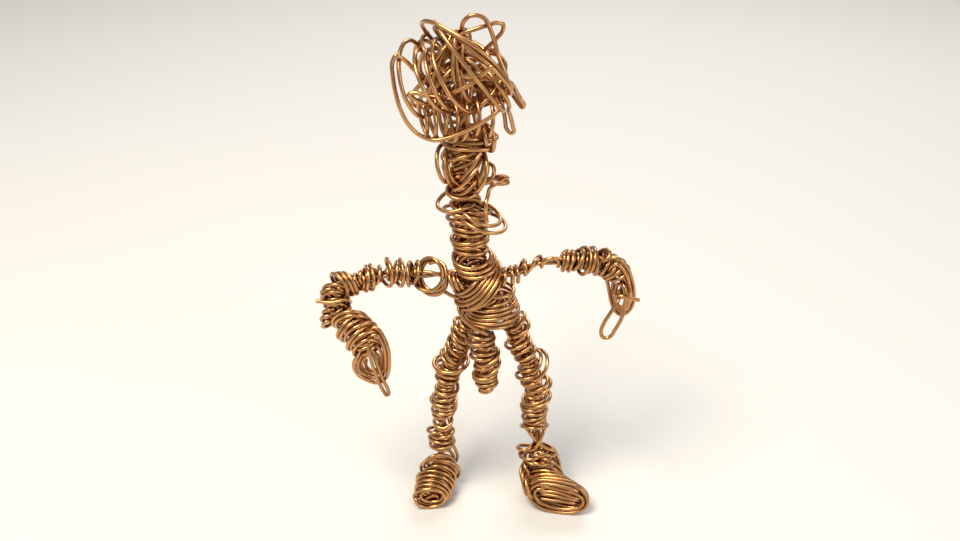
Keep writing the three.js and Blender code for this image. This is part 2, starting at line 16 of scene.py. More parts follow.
import bpy
import numpy as np
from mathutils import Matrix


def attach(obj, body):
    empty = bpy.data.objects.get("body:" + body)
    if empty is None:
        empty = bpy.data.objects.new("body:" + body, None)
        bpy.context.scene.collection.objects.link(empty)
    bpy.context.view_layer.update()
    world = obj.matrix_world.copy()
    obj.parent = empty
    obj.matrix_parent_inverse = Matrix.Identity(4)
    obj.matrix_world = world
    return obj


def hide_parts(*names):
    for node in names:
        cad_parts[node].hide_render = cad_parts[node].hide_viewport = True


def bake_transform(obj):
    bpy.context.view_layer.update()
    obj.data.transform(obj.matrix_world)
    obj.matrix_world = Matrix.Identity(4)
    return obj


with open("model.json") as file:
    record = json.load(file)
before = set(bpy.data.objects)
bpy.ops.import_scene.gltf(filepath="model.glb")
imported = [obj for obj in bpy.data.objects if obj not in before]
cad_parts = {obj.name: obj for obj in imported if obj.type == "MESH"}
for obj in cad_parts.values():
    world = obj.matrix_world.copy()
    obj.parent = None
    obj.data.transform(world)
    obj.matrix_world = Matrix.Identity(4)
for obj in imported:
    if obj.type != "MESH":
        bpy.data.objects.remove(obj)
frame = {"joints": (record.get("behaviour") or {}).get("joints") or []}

LOG = logging.getLogger("wire_figure")

MM = 0.001
WIRE_RADIUS = 0.5  # millimetres, as every length below
WIRE_SIDES = 12  # corners of a wire's round section
PATH_STEP = 0.5  # from ring to ring along a wire
KNOT_GAP = 1e-4  # knots closer than this count as one
LOOP_SAMPLES = 16  # knots in one loop
LOOP_EASE = 0.32  # share of a loop over which it passes into the next
LOOP_LEAD = 0.2  # share of a loop that is left out at each end of a run
PLY_OFFSET = 0.56  # from the middle of a pair to each of its wires
LEG_DEPTH = 1.5  # Y of the plane of the legs' wires, behind the middle of the figure
STUB_DEPTH = -3.35  # Y of the plane of the stub's wires, in front of it
PAIR_GRIP = 0.4  # how freely a twisted pair gives way to other wires
FINGER_GRIP = 0.5  # how freely a finger loop does
LINING_SWING = 13.0  # degrees by which the turns of an inner layer swing
LINING_BEAT = 2.4  # radians of that swing from turn to turn
END_ROUND = ((0.09, 0.46), (0.14, 0.38))  # rings of a rounded end: how far out, and radius
TINY = 1e-6  # least value of a divisor
SKIN_ROUGHNESS = 0.3
FLOOR_ROUGHNESS = 0.7
BUMP_DISTANCE = 0.0001  # metres


class WireKind(Enum):
    """The two uses of wire in the figure; each value names a material slot of the record, and each
    kind gets its own material without that slot being read.
    """

    CORE = "core_wire"
    WOUND = "wound_wire"


@dataclass(frozen=True)
class Viewpoint:
    """The eye that the courses are drawn from, in millimetres of the shared frame.

    Attributes:
        eye: Place of the eye.
        fall: Angle of the line of sight below level, in degrees.
        focal: Focal length in pixels.
        width: Width of the view in pixels.
        height: Height of the view in pixels.
        sensor: Sensor width of the camera in millimetres.
        clip: Nearest and farthest distance that the camera sees, in metres.
    """

    eye: tuple[float, float, float] = (-1.346, -210.581, 197.0)
    fall: float = 30.0
    focal: float = 950.0
    width: int = 960
    height: int = 541
    sensor: float = 36.0
    clip: tuple[float, float] = (0.01, 20.0)

    def axes(self) -> tuple[np.ndarray, np.ndarray]:
        """Find how the eye is turned.

        Returns:
            The line of sight, and the direction that is upwards in the view.
        """
        low = math.radians(self.fall)
        ahead = np.array([0.0, math.cos(low), -math.sin(low)])
        return ahead, np.array([0.0, math.sin(low), math.cos(low)])

    def rays(self, seen: np.ndarray) -> np.ndarray:
        """Find the directions of pixels.

        Formula: the line of sight, plus the pixel's distance from the middle of the view across
        and down, each divided by the focal length.

        Args:
            seen: Pixels, one row of x and y each.

        Returns:
            One direction for each pixel, not of unit length.
        """
        ahead, above = self.axes()
        across = (seen[:, :1] - self.width / 2) / self.focal
        down = (seen[:, 1:2] - self.height / 2) / self.focal
        return ahead + across * np.array([1.0, 0.0, 0.0]) - down * above

    def points(self, seen: np.ndarray, depth: np.ndarray, high: np.ndarray) -> np.ndarray:
        """Find where pixels lie in space.

        Formula: each ray is followed to the upright plane Y = depth, or to the level plane
        Z = high where a height is given.

        Args:
            seen: Pixels, one row of x and y each.
            depth: Y of the upright plane for each pixel.
            high: Z of the level plane for each pixel, or NaN where depth counts.

        Returns:
            One point for each pixel.
        """
        eye = np.array(self.eye)
        ray = self.rays(seen)
        by_depth = (depth - eye[1]) / ray[:, 1]
        by_height = (high - eye[2]) / ray[:, 2]
        reach = np.where(np.isnan(high), by_depth, by_height)
        return eye + reach[:, None] * ray

    def basis(self, points: np.ndarray) -> tuple[np.ndarray, np.ndarray, np.ndarray]:
        """Find how the view is turned at each point.

        Args:
            points: Points in space.

        Returns:
            Unit vectors to the right, upwards in the view, and towards the eye.
        """
        near = unit(np.array(self.eye) - points)
        right = unit(np.cross(-near, np.array([0.0, 0.0, 1.0])))
        return right, np.cross(right, -near), near

    def camera(self) -> bpy.types.Object:
        """Make the scene's camera at the eye.

        Returns:
            The camera object.
        """
        data = bpy.data.cameras.new("studio_camera")
        data.sensor_width = self.sensor
        data.lens = self.focal * self.sensor / self.width
        data.clip_start, data.clip_end = self.clip
        camera = bpy.data.objects.new("studio_camera", data)
        camera.location = [v * MM for v in self.eye]
        camera.rotation_euler = (math.radians(90.0 - self.fall), 0.0, 0.0)
        bpy.context.scene.collection.objects.link(camera)
        bpy.context.scene.camera = camera
        return camera


@dataclass(frozen=True)
class Loop:
    """One turn of a wire as the eye sees it.

    Attributes:
        x: Pixel across, of the loop's middle.
        y: Pixel down, of the loop's middle.
        half: Half of the loop's length, in millimetres.
        turn: Slope of the length, in degrees anticlockwise from level.
        tilt: How far the loop is opened towards the eye, in degrees; at 0 it is seen edge on.
        narrow: Width of the loop as a share of its length.
        near: How far the middle stands in front of the wire's own plane, in millimetres.
        high: Height of the middle above the floor, which then takes the place of near.
    """

    x: float
    y: float
    half: float
    turn: float = 0.0
    tilt: float = 30.0
    narrow: float = 1.0
    near: float = 0.0
    high: float = math.nan


@dataclass(frozen=True)
class Via:
    """One point that a wire passes.

    Attributes:
        x: Pixel across.
        y: Pixel down.
        near: How far it stands in front of the wire's own plane, in millimetres.
        high: Height above the floor, which then takes the place of near.
    """

    x: float
    y: float
    near: float = 0.0
    high: float = math.nan


@dataclass(frozen=True)
class Stretch:
    """The part of a wire that becomes one piece.

    Attributes:
        name: Name of the piece.
        course: Its loops and points in order.
        carrier: The body that it rides on, or a joint; a piece on a joint is not bent.
        nodes: The frame's nodes that the piece stands for.
    """

    name: str
    course: tuple[Loop | Via, ...]
    carrier: str
    nodes: tuple[str, ...] = ()


def unit(vectors: np.ndarray) -> np.ndarray:
    """Scale vectors to a length of one.

    Args:
        vectors: Vectors along the last axis.

    Returns:
        The unit vectors.
    """
    return vectors / np.maximum(np.linalg.norm(vectors, axis=-1, keepdims=True), TINY**2)


def smoothstep(value: np.ndarray) -> np.ndarray:
    """Ease a value from 0 to 1: three times its square, less twice its cube, clipped."""
    held = np.clip(value, 0.0, 1.0)
    return held * held * (3.0 - 2.0 * held)


def lining(course: tuple[Via, ...], half: float, step: float, tilt: float) -> tuple[Loop, ...]:
    """Lay a close inner layer of turns along a course.

    Formula: turns stand at even steps along the line through the points, square to it. Each is
    swung by a sine of its number, so that neighbours cross as turns laid by hand do.

    Args:
        course: Points that the middle of the layer passes.
        half: Half of a turn's length, in millimetres.
        step: Distance from turn to turn in the view, in pixels.
        tilt: How far the turns are opened towards the eye, in degrees.

    Returns:
        The turns in order.
    """
    at = np.array([[a.x, a.y, a.near, a.high] for a in course], float)
    reach = np.concatenate([[0.0], np.cumsum(np.hypot(*np.diff(at[:, :2], axis=0).T))])
    place = np.arange(0.0, reach[-1], step)
    x, y, near, high = (np.interp(place, reach, column) for column in at.T)
    slope = np.degrees(np.unwrap(np.arctan2(np.gradient(x), np.gradient(y))))
    slope = slope + LINING_SWING * np.sin(LINING_BEAT * np.arange(len(place)))
    rows = zip(x, y, slope, near, high)
    return tuple(Loop(*row[:2], half, row[2], tilt, 1.0, *row[3:]) for row in rows)


@dataclass(frozen=True)
class Girth:
    """One turn round a foot, placed by where its top and its sole lie.

    Attributes:
        x: Pixel across, of the turn's middle.
        half: Half of the turn's width, in millimetres.
        turn: Slope of the width in the view, in degrees anticlockwise from level.
        top: Y and Z of its highest point, in millimetres.
        sole: Y and Z of its lowest point, in millimetres.
    """

    x: float
    half: float
    turn: float
    top: tuple[float, float]
    sole: tuple[float, float]


def foot_turns(rows: tuple[Girth, ...], inset: float = 0.0) -> tuple[Loop, ...]:
    """Wind turns round a foot.

    Formula: a turn's middle lies halfway between its top and its sole, and its tilt is the angle
    of the line from top to sole against the line of sight. An inner layer is drawn in all round.

    Args:
        rows: The turns from the ankle to the toe.
        inset: How far the turns are drawn in, in millimetres.

    Returns:
        The turns as loops, in the same order.
    """
    view = Viewpoint()
    top, sole = np.array([a.top for a in rows]), np.array([a.sole for a in rows])
    middle, deep = (top + sole) / 2.0, np.linalg.norm(sole - top, axis=1) / 2.0
    side, gap = unit(sole - top), middle - np.array(view.eye[1:])
    near = unit(-gap)
    above = np.stack([near[:, 1], -near[:, 0]], axis=1)
    tilt = np.degrees(np.arctan2(-np.sum(side * above, axis=1), np.sum(side * near, axis=1)))
    ahead, upwards = (axis[1:] for axis in view.axes())
    seen = view.height / 2 - view.focal * (gap @ upwards) / (gap @ ahead)
    return tuple(
        Loop(a.x, y, a.half - inset, a.turn, lean, (length - inset) / (a.half - inset), 0.0, high)
        for a, y, lean, length, high in zip(rows, seen, tilt, deep, middle[:, 1])
    )


def smooth_path(knots: np.ndarray, marks: np.ndarray) -> tuple[np.ndarray, np.ndarray]:
    """Lead a smooth path through knots.

    Formula: between two knots runs a cubic whose slope at each knot is the change of the knots
    around it over their distance. The cubic is read off at even steps.

    Args:
        knots: Points that the path passes.
        marks: A number at each knot that rises along the path.

    Returns:
        The path's points, and the mark at each of them.
    """
    apart = np.linalg.norm(np.diff(knots, axis=0), axis=1)
    kept = np.concatenate([[True], apart > KNOT_GAP])
    knots, marks = knots[kept], marks[kept]
    apart = np.linalg.norm(np.diff(knots, axis=0), axis=1)
    reach = np.concatenate([[0.0], np.cumsum(apart)])
    slope = np.gradient(knots, reach, axis=0)
    at = np.linspace(0.0, reach[-1], max(int(reach[-1] / PATH_STEP), 3) + 1)
    i = np.clip(np.searchsorted(reach, at, side="right") - 1, 0, len(reach) - 2)
    span = (reach[i + 1] - reach[i])[:, None]
    t = (at - reach[i])[:, None] / span
    ends = (2 * t**3 - 3 * t**2 + 1) * knots[i] + (3 * t**2 - 2 * t**3) * knots[i + 1]
    slopes = (t**3 - 2 * t**2 + t) * slope[i] + (t**3 - t**2) * slope[i + 1]
    return ends + span * slopes, np.interp(at, reach, marks)


def path_frames(path: np.ndarray) -> tuple[np.ndarray, np.ndarray, np.ndarray]:
    """Carry a pair of cross directions along a path without twist.

    Formula: any cross direction is first taken at each point. The turn that carries one tangent
    onto the next is applied to it, and the angle by which the next one differs is summed along
    the path and turned back.

    Args:
        path: Points of the path.

    Returns:
        The tangent and the two cross directions at each point.
    """
    tangent = unit(np.gradient(path, axis=0))
    helper = np.eye(3)[np.argmin(np.abs(tangent), axis=1)]
    first = unit(np.cross(tangent, helper))
    old, new = tangent[:-1], tangent[1:]
    axis = np.cross(old, new)
    along = np.sum(old * new, axis=1, keepdims=True)
    share = 1.0 / np.maximum(1.0 + along, TINY)
    carried = first[:-1] * along
    carried = carried + np.cross(axis, first[:-1])
    carried = carried + axis * np.sum(axis * first[:-1], axis=1, keepdims=True) * share
    sine = np.sum(np.cross(carried, first[1:]) * new, axis=1)
    cosine = np.sum(carried * first[1:], axis=1)
    back = -np.concatenate([[0.0], np.cumsum(np.arctan2(sine, cosine))])[:, None]
    second = np.cross(tangent, first)
    turned = np.cos(back) * first + np.sin(back) * second
    return tangent, turned, np.cross(tangent, turned)


@dataclass
class Strand:
    """One wire's centre line after it is laid.

    Attributes:
        points: Its points in millimetres.
        marks: The place along the course at each point.
        grip: How freely it gives way when wires are settled, from 0 to 1.
        crowd: At each point, how thickly other wires stand round it and on which side.
    """

    points: np.ndarray
    marks: np.ndarray
    grip: float
    crowd: np.ndarray = field(default_factory=lambda: np.zeros((0, 3)))


@dataclass
class Wire:
    """A length of wire, of one strand or of two strands twisted together.

    Attributes:
        kind: Core or wound wire.
        stretches: The pieces along the wire, in order.
        depth: Y of the wire's own plane, in millimetres.
        sense: 1 or -1, the way round of its loops.
        plies: 1 for a single strand, 2 for a twisted pair.
        twist: Length of one full twist of a pair, in millimetres.
        grip: How freely it gives way when wires are settled, from 0 to 1.
    """

    kind: WireKind
    stretches: tuple[Stretch, ...]
    depth: float = 0.0
    sense: int = 1
    plies: int = 1
    twist: float = 15.0
    grip: float = 1.0

    def places(self, items: list[Loop | Via], view: Viewpoint) -> np.ndarray:
        """Find where the middles of loops, or points, lie in space.

        Args:
            items: Loops or points of the course.
            view: The eye that they are drawn from.

        Returns:
            One point for each.
        """
        at = np.array([[a.x, a.y, a.near, a.high] for a in items], float)
        return view.points(at[:, :2], self.depth - at[:, 2], at[:, 3])

    def loop_knots(self, loops: list[Loop], view: Viewpoint) -> tuple[np.ndarray, np.ndarray]:
        """Sample a run of loops.

        Formula: a point goes round an ellipse once for each loop. The ellipse's middle, size and
        slope are those of the loop over its front, and ease to the next loop's over its back.

        Args:
            loops: The loops in order.
            view: The eye that the loops are drawn from.

        Returns:
            The points, and the number of loops passed at each.
        """
        count = len(loops)
        passed = np.arange(LOOP_LEAD, count - LOOP_LEAD, 1.0 / LOOP_SAMPLES)
        back = np.floor(passed + 0.5)
        eased = smoothstep((passed - back) / (2.0 * LOOP_EASE) + 0.5)
        place = np.clip(back - 1.0 + eased, 0.0, count - 1.0)
        sizes = np.array([[a.half, a.half * a.narrow, a.turn, a.tilt] for a in loops], float)
        table = np.concatenate([self.places(loops, view), sizes], axis=1)
        low = np.minimum(place.astype(int), count - 1)
        high = np.minimum(low + 1, count - 1)
        now = table[low] + (place - low)[:, None] * (table[high] - table[low])
        right, up, near = view.basis(now[:, :3])
        turn, tilt = np.radians(now[:, 5:6]), np.radians(now[:, 6:7])
        along = np.cos(turn) * right + np.sin(turn) * up
        across = np.sin(turn) * right - np.cos(turn) * up
        angle = (2.0 * math.pi * passed - math.pi / 2.0)[:, None]
        side = np.sin(tilt) * across + np.cos(tilt) * near
        points = now[:, :3] + self.sense * now[:, 3:4] * np.cos(angle) * along
        return points + now[:, 4:5] * np.sin(angle) * side, passed

    def knots(self, view: Viewpoint) -> tuple[np.ndarray, np.ndarray]:
        """Turn the whole course into knots.

        Args:
            view: The eye that the course is drawn from.

        Returns:
            The knots, and the place along the course at each.
        """
        items = [item for stretch in self.stretches for item in stretch.course]
        found, marks, start = [], [], 0
        for made, run in groupby(items, key=type):
            group = list(run)
            if made is Loop:
                points, place = self.loop_knots(group, view)
            else:
                points, place = self.places(group, view), np.arange(len(group)) + 0.5
            found.append(points)
            marks.append(place + start)
            start += len(group)
        return np.concatenate(found), np.concatenate(marks)

    def lay(self, view: Viewpoint) -> list[Strand]:
        """Lay the wire's strands along its course.

        Formula: a single strand is the smooth path itself. Two strands stand on opposite sides of
        it and go round it once for each length of twist.

        Args:
            view: The eye that the course is drawn from.

        Returns:
            The strands.
        """
        path, marks = smooth_path(*self.knots(view))
        if self.plies == 1:
            return [Strand(path, marks, self.grip)]
        _, first, second = path_frames(path)
        reach = np.arange(len(path)) * PATH_STEP
        angle = (2.0 * math.pi * reach / self.twist)[:, None]
        offset = PLY_OFFSET * (np.cos(angle) * first + np.sin(angle) * second)
        return [Strand(path + side * offset, marks, self.grip) for side in (1.0, -1.0)]


@dataclass(frozen=True)
class Settling:
    """How wires that are laid together are pushed apart until they rest on each other.

    Attributes:
        rounds: Number of small steps.
        refresh: Steps between two searches for near pairs.
        reach: Distance within which a pair is watched, in millimetres.
        clear: Distance that is kept between two centre lines, in millimetres.
        skip: Points along one wire that are too close to count as a pair.
        push: Share of what is missing that a pair is moved in one step.
        spread: Share of a shift that passes to the next points along a wire.
        hold: Share of each shift that is kept from step to step.
        shade_reach: Distance within which wires count as crowding a point, in millimetres.
        chunk: Points that are searched at a time.
    """

    rounds: int = 60
    refresh: int = 12
    reach: float = 1.9
    clear: float = 1.03
    skip: int = 5
    push: float = 0.7
    spread: float = 0.22
    hold: float = 0.995
    shade_reach: float = 3.0
    chunk: int = 600

    def near_pairs(self, points: np.ndarray, owner: np.ndarray, reach: float) -> np.ndarray:
        """Find the pairs of points that are close together.

        Args:
            points: All points of all strands.
            owner: The strand of each point.
            reach: Largest distance of a pair.

        Returns:
            Two columns of point numbers, the lower number first.
        """
        found = []
        index = np.arange(len(points))
        small = points.astype(np.float32)
        square = np.sum(small * small, axis=1)
        for start in range(0, len(points), self.chunk):
            part = small[start:start + self.chunk]
            gap = square[start:start + self.chunk, None] + square[None, start:]
            gap = gap - 2.0 * part @ small[start:].T
            i, j = np.nonzero(gap < reach * reach)
            i, j = i + start, j + start
            apart = (owner[i] != owner[j]) | (np.abs(index[i] - index[j]) > self.skip)
            kept = (i < j) & apart
            found.append(np.stack([i[kept], j[kept]], axis=1))
        return np.concatenate(found)

    def settle(self, strands: list[Strand], floor: float) -> None:
        """Push all strands apart, and shade them by how crowded they stand.

        Formula: two points closer than the clearance each move half of what is missing along the
        line between them. The shifts are averaged along each strand, so that no kink appears, and
        no point sinks below the floor.

        Args:
            strands: The strands, whose points are moved in place.
            floor: Lowest height of a centre line in millimetres.
        """
        rest = np.concatenate([s.points for s in strands])
        owner = np.repeat(np.arange(len(strands)), [len(s.points) for s in strands])
        give = np.repeat([s.grip for s in strands], [len(s.points) for s in strands])
        joined = (owner[1:] == owner[:-1]).astype(float)[:, None]
        shift = np.zeros_like(rest)
        pairs = np.zeros((0, 2), int)
        for step in range(self.rounds):
            now = rest + shift
            if step % self.refresh == 0:
                pairs = self.near_pairs(now, owner, self.reach)
            i, j = pairs[:, 0], pairs[:, 1]
            line = now[j] - now[i]
            gap = np.linalg.norm(line, axis=1)
            missing = np.clip(self.clear - gap, 0.0, None)
            share = give[i] + give[j]
            push = line * (missing / np.maximum(gap, TINY) / np.maximum(share, TINY))[:, None]
            for axis in range(3):
                moved = np.bincount(j, push[:, axis] * give[j], len(rest))
                moved = moved - np.bincount(i, push[:, axis] * give[i], len(rest))
                shift[:, axis] += self.push * moved
            ahead = np.concatenate([(shift[1:] - shift[:-1]) * joined, np.zeros((1, 3))])
            behind = np.concatenate([np.zeros((1, 3)), (shift[:-1] - shift[1:]) * joined])
            shift = (shift + self.spread * (ahead + behind)) * self.hold
            shift[:, 2] = np.maximum(shift[:, 2], floor - rest[:, 2])
        now = rest + shift
        crowd = self.crowding(now, owner)
        bounds = np.cumsum([len(s.points) for s in strands])[:-1]
        for strand, points, near in zip(strands, np.split(now, bounds), np.split(crowd, bounds)):
            strand.points, strand.crowd = points, near

    def crowding(self, points: np.ndarray, owner: np.ndarray) -> np.ndarray:
        """Find how thickly other wires stand round each point.

        Formula: the unit vectors to all points within reach are summed, each weighed by how near
        it is. The sum is long, and points into the crowd, where a wire lies in a recess.

        Args:
            points: All points of all strands.
            owner: The strand of each point.

        Returns:
            One vector for each point.
        """
        pairs = self.near_pairs(points, owner, self.shade_reach)
        i, j = pairs[:, 0], pairs[:, 1]
        line = points[j] - points[i]
        gap = np.linalg.norm(line, axis=1)
        weight = (1.0 - gap / self.shade_reach) / np.maximum(gap, TINY)
        pull = line * np.clip(weight, 0.0, None)[:, None]
        total = [
            np.bincount(i, pull[:, a], len(points)) - np.bincount(j, pull[:, a], len(points))
            for a in range(3)
        ]
        return np.stack(total, axis=1)


@dataclass
class TubeMesh:
    """Rounds of one piece, gathered before they are put into a mesh.

    Attributes:
        verts: Vertex places in metres, one array for each tube.
        loops: Corner vertex numbers, one array for each tube.
        sizes: Corner count of each face, one array for each tube.
        uvs: Corner places along and round the wire, one array for each tube.
        recess: How deep each vertex lies among other wires, which sets the painted shade of
            recesses, one array for each tube.
        rims: Whether each vertex is on a cut end's edge, one array for each tube.
    """

    verts: list[np.ndarray] = field(default_factory=list)
    loops: list[np.ndarray] = field(default_factory=list)
    sizes: list[np.ndarray] = field(default_factory=list)
    uvs: list[np.ndarray] = field(default_factory=list)
    recess: list[np.ndarray] = field(default_factory=list)
    rims: list[np.ndarray] = field(default_factory=list)

    def add(
        self, path: np.ndarray, crowd: np.ndarray, start: float, ends: tuple[bool, bool],
    ) -> None:
        """Add one tube.

        Formula: a circle of the wire's radius is carried along the path without twist. A true end
        of the wire is rounded over two smaller circles, and every end is closed by a flat face.

        Args:
            path: Centre line in millimetres.
            crowd: Crowding vector at each point.
            start: Length of the wire before this tube, in millimetres.
            ends: Whether the first and the last end are true ends of the wire.
        """
        tangent, first, second = path_frames(path)
        radii = np.full(len(path), WIRE_RADIUS)
        steps, sizes = np.array(END_ROUND).T
        for last, cut in enumerate(ends):
            if not cut:
                continue
            # Row -last is the first row at the first end, and the last row at the last end.
            out = tangent[-1] if last else -tangent[0]
            path = self.extended(path, path[-last] + steps[:, None] * out, last)
            radii = self.extended(radii, sizes, last)
            first, second, crowd = (
                self.extended(rows, np.repeat(rows[-last][None], len(steps), axis=0), last)
                for rows in (first, second, crowd)
            )
        angle = np.linspace(0.0, 2.0 * math.pi, WIRE_SIDES, endpoint=False)[None, :, None]
        out = np.cos(angle) * first[:, None] + np.sin(angle) * second[:, None]
        verts = path[:, None] + radii[:, None, None] * out
        # How far each vertex faces into the crowd of other wires; it becomes the painted shade of
        # recesses.
        depth = np.sum(out * crowd[:, None], axis=2)
        rings = len(path)
        i, j = np.meshgrid(np.arange(rings - 1), np.arange(WIRE_SIDES), indexing="ij")
        k = (j + 1) % WIRE_SIDES
        quads = np.stack([i, i, i + 1, i + 1], axis=2) * WIRE_SIDES
        quads = quads + np.stack([j, k, k, j], axis=2)
        reach = start + np.concatenate(
            [[0.0], np.cumsum(np.linalg.norm(np.diff(path, axis=0), axis=1))]
        )
        along = np.stack([reach[i], reach[i], reach[i + 1], reach[i + 1]], axis=2)
        around = np.stack([j, j + 1, j + 1, j], axis=2) / WIRE_SIDES
        ring = np.arange(WIRE_SIDES)
        caps = np.concatenate([ring[::-1], ring + (rings - 1) * WIRE_SIDES])
        cap_uv = np.stack([np.full(2 * WIRE_SIDES, reach[0]), np.full(2 * WIRE_SIDES, 0.5)], axis=1)
        base = sum(len(v) for v in self.verts)
        rim = np.zeros((rings, WIRE_SIDES), bool)
        rim[[0, -1]] = True
        self.verts.append(verts.reshape(-1, 3) * MM)
        self.loops.append(np.concatenate([quads.reshape(-1), caps]) + base)
        self.sizes.append(np.concatenate([np.full((rings - 1) * WIRE_SIDES, 4), [WIRE_SIDES] * 2]))
        self.uvs.append(np.concatenate([np.stack([along, around], axis=3).reshape(-1, 2), cap_uv]))
        self.recess.append(np.clip(depth, 0.0, None).reshape(-1))
        self.rims.append(rim.reshape(-1))

    @staticmethod
    def extended(rows: np.ndarray, more: np.ndarray, last: int) -> np.ndarray:
        """Put rows after the last row, or before the first in the opposite order."""
        return np.concatenate([rows, more] if last else [more[::-1], rows])

    def build(self, name: str) -> bpy.types.Object:
        """Put the gathered tubes into one mesh object at the origin.

        Args:
            name: Name of the piece.

        Returns:
            The object.
        """
        verts, loops = np.concatenate(self.verts), np.concatenate(self.loops)
        sizes, uvs = np.concatenate(self.sizes), np.concatenate(self.uvs)
        mesh = bpy.data.meshes.new(name)
        mesh.vertices.add(len(verts))
        mesh.vertices.foreach_set("co", verts.astype(np.float32).reshape(-1))
        mesh.loops.add(len(loops))
        mesh.loops.foreach_set("vertex_index", loops.astype(np.int32))
        mesh.polygons.add(len(sizes))
        starts = np.concatenate([[0], np.cumsum(sizes)[:-1]])
        mesh.polygons.foreach_set("loop_start", starts.astype(np.int32))
        mesh.polygons.foreach_set("use_smooth", np.ones(len(sizes), bool))
        mesh.update(calc_edges=True)
        layer = mesh.uv_layers.new(name="wire")
        layer.uv.foreach_set("vector", uvs.astype(np.float32).reshape(-1))
        # The recess attribute drives the painted shade of the finishes.
        shade = mesh.attributes.new("recess", "FLOAT", "POINT")
        shade.data.foreach_set("value", np.concatenate(self.recess).astype(np.float32))
        ends = np.zeros(len(mesh.edges) * 2, np.int32)
        mesh.edges.foreach_get("vertices", ends)
        ends = ends.reshape(-1, 2)
        rim = np.concatenate(self.rims)
        one_ring = ends[:, 0] // WIRE_SIDES == ends[:, 1] // WIRE_SIDES
        mesh.edges.foreach_set("use_edge_sharp", rim[ends[:, 0]] & rim[ends[:, 1]] & one_ring)
        mesh.validate()
        piece = bpy.data.objects.new(name, mesh)
        bpy.context.scene.collection.objects.link(piece)
        return piece


class NodeSheet:
    """A small helper that places and links the nodes of one tree."""

    def __init__(self, tree: bpy.types.NodeTree) -> None:
        """Take hold of a tree and clear it."""
        self.tree = tree
        tree.nodes.clear()

    def add(self, kind: str, inputs: dict | None = None, **settings: object) -> bpy.types.Node:
        """Place one node.

        Args:
            kind: Blender's node type.
            inputs: Values or output sockets for its inputs, by socket name or number.
            settings: Properties of the node.

        Returns:
            The node.
        """
        node = self.tree.nodes.new(kind)
        for key, value in settings.items():
            setattr(node, key, value)
        for key, value in (inputs or {}).items():
            if isinstance(value, bpy.types.NodeSocket):
                self.tree.links.new(value, node.inputs[key])
            else:
                node.inputs[key].default_value = value
        return node

    def math(self, operation: str, *values: object, clamp: bool = False) -> bpy.types.NodeSocket:
        """Place one sum of values or sockets and give back its output."""
        inputs = dict(enumerate(values))
        return self.add("ShaderNodeMath", inputs, operation=operation, use_clamp=clamp).outputs[0]

    def noise(
        self, place: bpy.types.NodeSocket, scale: object, detail: float,
    ) -> bpy.types.NodeSocket:
        """Place a noise and give back its value."""
        inputs = {"Vector": place, "Scale": scale, "Detail": detail}
        return self.add("ShaderNodeTexNoise", inputs).outputs["Fac"]

    def mix(self, share: object, one: object, two: object) -> bpy.types.NodeSocket:
        """Place a mix of two colours and give back its output."""
        return self.add("ShaderNodeMix", {0: share, 6: one, 7: two}, data_type="RGBA").outputs[2]

    def ramp(self, value: bpy.types.NodeSocket, low: float, high: float) -> bpy.types.NodeSocket:
        """Place a smooth step from low to high and give back its output."""
        inputs = {"Value": value, "From Min": low, "From Max": high}
        return self.add("ShaderNodeMapRange", inputs, interpolation_type="SMOOTHSTEP").outputs[0]


